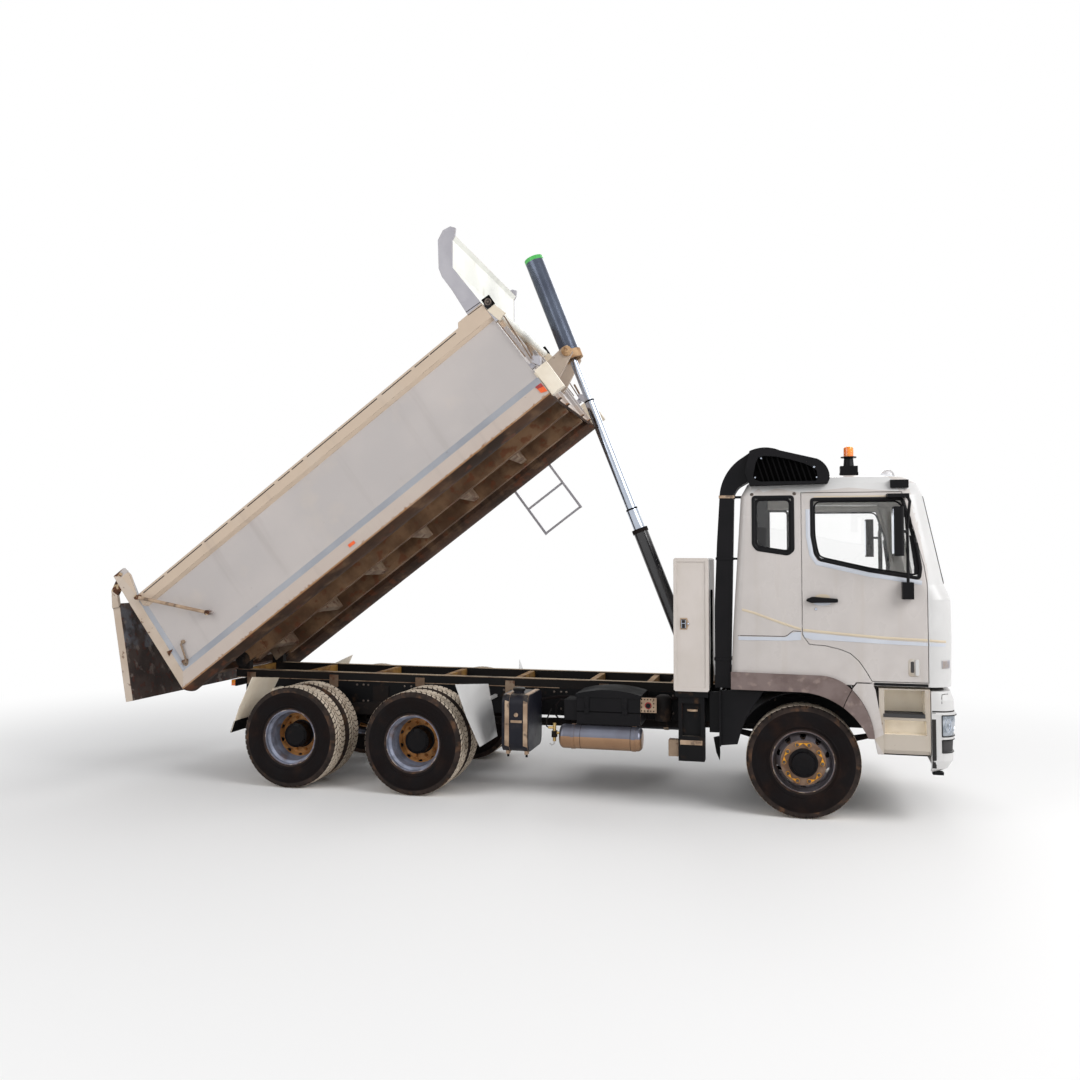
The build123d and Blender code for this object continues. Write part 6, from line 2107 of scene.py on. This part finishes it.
@dataclass
class ChassisTrim:
    """Rail bolts, sunlit flange edges, leg fittings and flaps."""

    web: float = 0.425
    bolt_groups: tuple[float, ...] = (-0.3, -1.3, -2.4, -2.94, -3.45, -4.05, -4.6, -5.15, -5.7)

    def build(self) -> None:
        """Add the small parts along the chassis."""
        for side in Side:
            self.rail(side)
        self.leg()
        self.flaps()

    def rail(self, side: Side) -> None:
        """Add bolt groups and the painted sunlit highlight on the flange edges where the subframe sits on the
        rail.

        Args:
            side: Side of the vehicle.
        """
        bolts = Draft(mirrored(CHASSIS_AXES, side))
        head = [(0.012, -0.002), (0.012, 0.01), (0.009, 0.012)]
        for start in self.bolt_groups:
            for dx, z in ((0.0, 0.962), (0.055, 0.962), (-0.075, 0.962), (0.0, 0.79), (0.055, 0.79)):
                bolts.lathe(head, (start + dx, self.web, z), OUT, 6)
        bolts.made(f"rail_bolts_{side}", "chassis", STEEL_NUT)
        # Painted sunlit highlights along the flange edges, and short pale blocks on the web.
        edge = Draft(mirrored(CHASSIS_AXES, side))
        edge.block((-6.12, self.web - 0.004, 0.9985), (-2.42, self.web + 0.006, 1.0065))
        edge.block((-6.12, self.web - 0.004, 1.0845), (-2.1, self.web + 0.003, 1.0895))
        for x in (-5.95, -4.95, -3.95, -2.95, -1.95, -1.05):
            edge.block((x - 0.05, self.web - 0.002, 0.93), (x + 0.05, self.web + 0.012, 1.06))
        edge.made(f"rail_edges_{side}", "chassis", MEMBER_BEIGE)

    def leg(self) -> None:
        """Add the fittings of the leg under the locker."""
        leg = Draft(RIGHT_AXES)
        leg.block((-1.105, 1.176, 0.62), (-0.9, 1.184, 0.662))
        leg.hollow(0.03, 0.058, 0.0, 0.018, (-0.993, 1.12, 0.926), UP)
        leg.paint = 1
        leg.lathe([(0.031, 0.0), (0.01, 0.062), (0.004, 0.066)], (-0.993, 1.12, 0.93), UP, 20)
        leg.paint = 2
        leg.block((-1.215, 1.06, 0.505), (-1.119, 1.165, 0.655))
        leg.block((-1.122, 1.06, 0.54), (-1.11, 1.15, 0.62))
        leg.made("leg_fittings", "chassis", STRAP_BEIGE, HEAD_PAINT, MEMBER_BEIGE, edge=0.003)

    def flaps(self) -> None:
        """Add the black foot of the rear guards and the torn flap behind the front wheel."""
        rear = JOINTS["roll_rear_left"]["pos_m"][0] - FRONT_X
        for side in Side:
            flap = Draft(mirrored(CHASSIS_AXES, side))
            outline = [(-0.646, 0.534), (-0.605, 0.655), (-0.619, 0.657), (-0.662, 0.536)]
            flap.prism([(rear + x, z) for x, z in outline], 0.632, 1.2345)
            torn = [(-0.797, 0.7), (-0.744, 0.714), (-0.738, 0.56), (-0.742, 0.492), (-0.774, 0.567)]
            flap.prism(torn, 1.16, 1.186)
            flap.made(f"flaps_{side}", "chassis", DEEP_BLACK)


@dataclass
class TrayTrim:
    """Latches, markers, joint lines, cover's arms and hinge caps of the tray."""

    half: float = 1.22

    def build(self) -> None:
        """Add the tray's small parts on both sides."""
        for side in Side:
            self.tail(side)
            self.coaming(side)
            self.head(side)
            self.hinge(side)

    def tail(self, side: Side) -> None:
        """Add the gate latch's rods, a rusty bracket and the markers.

        Args:
            side: Side of the vehicle.
        """
        place = mirrored(TRAY_AXES, side)
        face = (self.half - 0.004, self.half + 0.006)
        latch = Draft(place)
        line = [
            (0.27, 1.19, 0.413), (0.239, 1.196, 0.404), (0.217, 1.198, 0.312), (0.196, 1.2, 0.235),
            (0.174, 1.204, 0.204),
        ]
        latch.rod(line, 0.01, 10)
        latch.hollow(0.012, 0.026, 1.19, 1.204, (0.174, 0.0, 0.204), OUT)
        latch.lathe([(0.02, 0.0), (0.02, 0.03), (0.014, 0.034)], (0.27, 1.17, 0.413), OUT, 14)
        hook = [(0.112, 0.185), (0.205, 0.17), (0.205, 0.24), (0.15, 0.262), (0.112, 0.24)]
        latch.prism(hook, 1.172, 1.188)
        latch.paint = 1
        latch.prism([(0.068, 0.373), (0.145, 0.41), (0.073, 0.43)], *face)
        latch.made(f"gate_latch_{side}", "tray", MEMBER_BEIGE, RUSTED)
        marker = Draft(place)
        marker.prism([(4.884, 0.066), (4.946, 0.04), (4.944, 0.1), (4.878, 0.118)], *face)
        marker.prism([(2.388, 0.062), (2.465, 0.06), (2.465, 0.092), (2.388, 0.094)], *face)
        marker.paint = 1
        marker.prism([(4.878, 0.12), (4.944, 0.102), (4.942, 0.145), (4.872, 0.148)], *face)
        marker.made(f"markers_{side}", "tray", MARKER_ORANGE, RED_GLASS)

    def coaming(self, side: Side) -> None:
        """Add the broken dark line under the coaming's top.

        Args:
            side: Side of the vehicle.
        """
        draft = Draft(mirrored(TRAY_AXES, side))
        chance = random.Random(11)
        along = 0.2
        while along < 4.55:
            end = min(4.58, along + 0.12 + 0.42 * chance.random())
            draft.block((along, self.half - 0.012, 1.1), (end, self.half - 0.0062, 1.109))
            along = end + 0.015 + 0.05 * chance.random()
        draft.made(f"coaming_line_{side}", "tray", SEAM_DARK)

    def head(self, side: Side) -> None:
        """Add joint lines, the cover's roller plate, arms, cylinder and box at the tray's front.

        Args:
            side: Side of the vehicle.
        """
        place = mirrored(TRAY_AXES, side)
        lines = Draft(place)
        thick = 0.003
        for (x0, z0), (x1, z1) in (((4.772, 1.205), (4.948, 1.19)), ((4.77, 1.166), (4.946, 1.157))):
            line = [(x0, z0 - thick), (x1, z1 - thick), (x1, z1 + thick), (x0, z0 + thick)]
            lines.prism(line, 1.205, 1.2145)
        lines.made(f"guard_lines_{side}", "tray", SEAM_DARK)
        plate = Draft(place)
        plate.prism([(4.962, 1.08), (5.055, 1.08), (5.06, 1.19), (4.966, 1.198)], 1.206, 1.222)
        plate.paint = 1
        roller = (5.01, 0.0, 1.138)
        plate.hollow(0.022, 0.036, 1.2215, 1.2265, roller, OUT)
        plate.lathe([(0.014, 1.215), (0.014, 1.23), (0.01, 1.233)], roller, OUT, 16)
        plate.made(f"roller_plate_{side}", "tray", DEEP_BLACK, STEEL_NUT)
        arm = Draft(place)
        arm.prism([(4.951, 1.081), (5.041, 1.084), (5.081, 0.939), (4.984, 0.92)], 1.18, 1.215)
        arm.prism([(4.952, 0.93), (5.0, 0.922), (5.0, 0.96), (4.952, 0.968)], 1.15, 1.185)
        arm.paint = 1
        arm.rod([(5.05, 1.19, 0.93), (5.009, 1.19, 0.403)], 0.007, 8)
        arm.rod([(4.966, 1.19, 0.974), (4.972, 1.19, 0.461)], 0.006, 8)
        arm.rod([(5.059, 1.185, 0.57), (5.04, 1.185, 0.443), (5.012, 1.185, 0.379)], 0.012, 8)
        arm.paint = 2
        arm.prism([(5.03, 0.43), (5.096, 0.375), (5.035, 0.295), (4.989, 0.376)], 1.13, 1.196)
        arm.prism([(4.948, 0.39), (5.01, 0.38), (5.0, 0.33), (4.948, 0.33)], 1.13, 1.17)
        arm.paint = 0
        arm.prism([(4.96, 0.295), (5.11, 0.295), (5.104, -0.011), (4.954, -0.011)], 1.11, 1.196)
        arm.block((4.94, 1.1, 0.02), (4.97, 1.18, 0.28))
        arm.made(f"cover_arms_{side}", "tray", CREAM_AND_SUNLIT_PAINT, MEMBER_BEIGE, HEAD_PAINT, edge=0.004)

    def hinge(self, side: Side) -> None:
        """Add the caps of the tray's hinge and of the hoist's trunnion.

        Args:
            side: Side of the vehicle.
        """
        caps = Draft(mirrored(TRAY_AXES, side))
        caps.lathe([(0.082, 0.4455), (0.082, 0.462), (0.066, 0.47), (0.03, 0.472)], TRAY_PIVOT, OUT, 32)
        caps.lathe([(0.034, 0.465), (0.034, 0.486), (0.026, 0.49)], TRAY_PIVOT, OUT, 6)
        caps.made(f"hinge_caps_{side}", "tray", CAST_STEEL)
        boss = Draft(mirrored(TRAY_AXES, side))
        tip = (5.29, 0.0, 0.525)
        boss.lathe([(0.056, 0.2485), (0.056, 0.268), (0.048, 0.274)], tip, OUT, 28)
        boss.lathe([(0.026, 0.27), (0.026, 0.284), (0.02, 0.288)], tip, OUT, 20)
        boss.made(f"trunnion_boss_{side}", "tray", TAN_CASTING)


@dataclass
class HoistTrim:
    """Gland nut, wiper rings and cap band of the hoist's stages."""

    rings: tuple[tuple[str, str, float, float, float, float, Finish], ...] = (
        ("hoist_barrel", "gland_nut", 0.0634, 0.086, 1.742, 1.786, CAST_STEEL),
        ("hoist_sleeve_1", "first_wiper", 0.0552, 0.0624, 2.001, 2.0195, DEEP_BLACK),
        ("hoist_cover", "cap_band", 0.103, 0.1046, 4.975, 5.0182, CAP_GREEN),
        ("hoist_sleeve_2", "second_wiper", 0.0412, 0.0544, 3.271, 3.2895, DEEP_BLACK),
    )

    def build(self) -> None:
        """Add a ring at the top of the barrel, a band on the cover and thin wipers on the sleeves."""
        for body, name, inner, outer, start, end, finish in self.rings:
            draft = Draft(HOIST_AXES)
            draft.hollow(inner, outer, start, end, (0, 0, 0), UP)
            draft.made(name, body, finish)


def main() -> None:
    """Build the studio, dress the truck and add its trim."""
    logging.basicConfig(level=logging.INFO, format="%(message)s")
    random.seed(7)
    parts = (
        Studio, Finishes, Tyres, WheelTrim, CabTrim, FrontTrim, StepTrim, LockerTrim, TankTrim, ChassisTrim,
        TrayTrim, HoistTrim,
    )
    for part in parts:
        part().build()


if __name__ == "__main__":
    main()
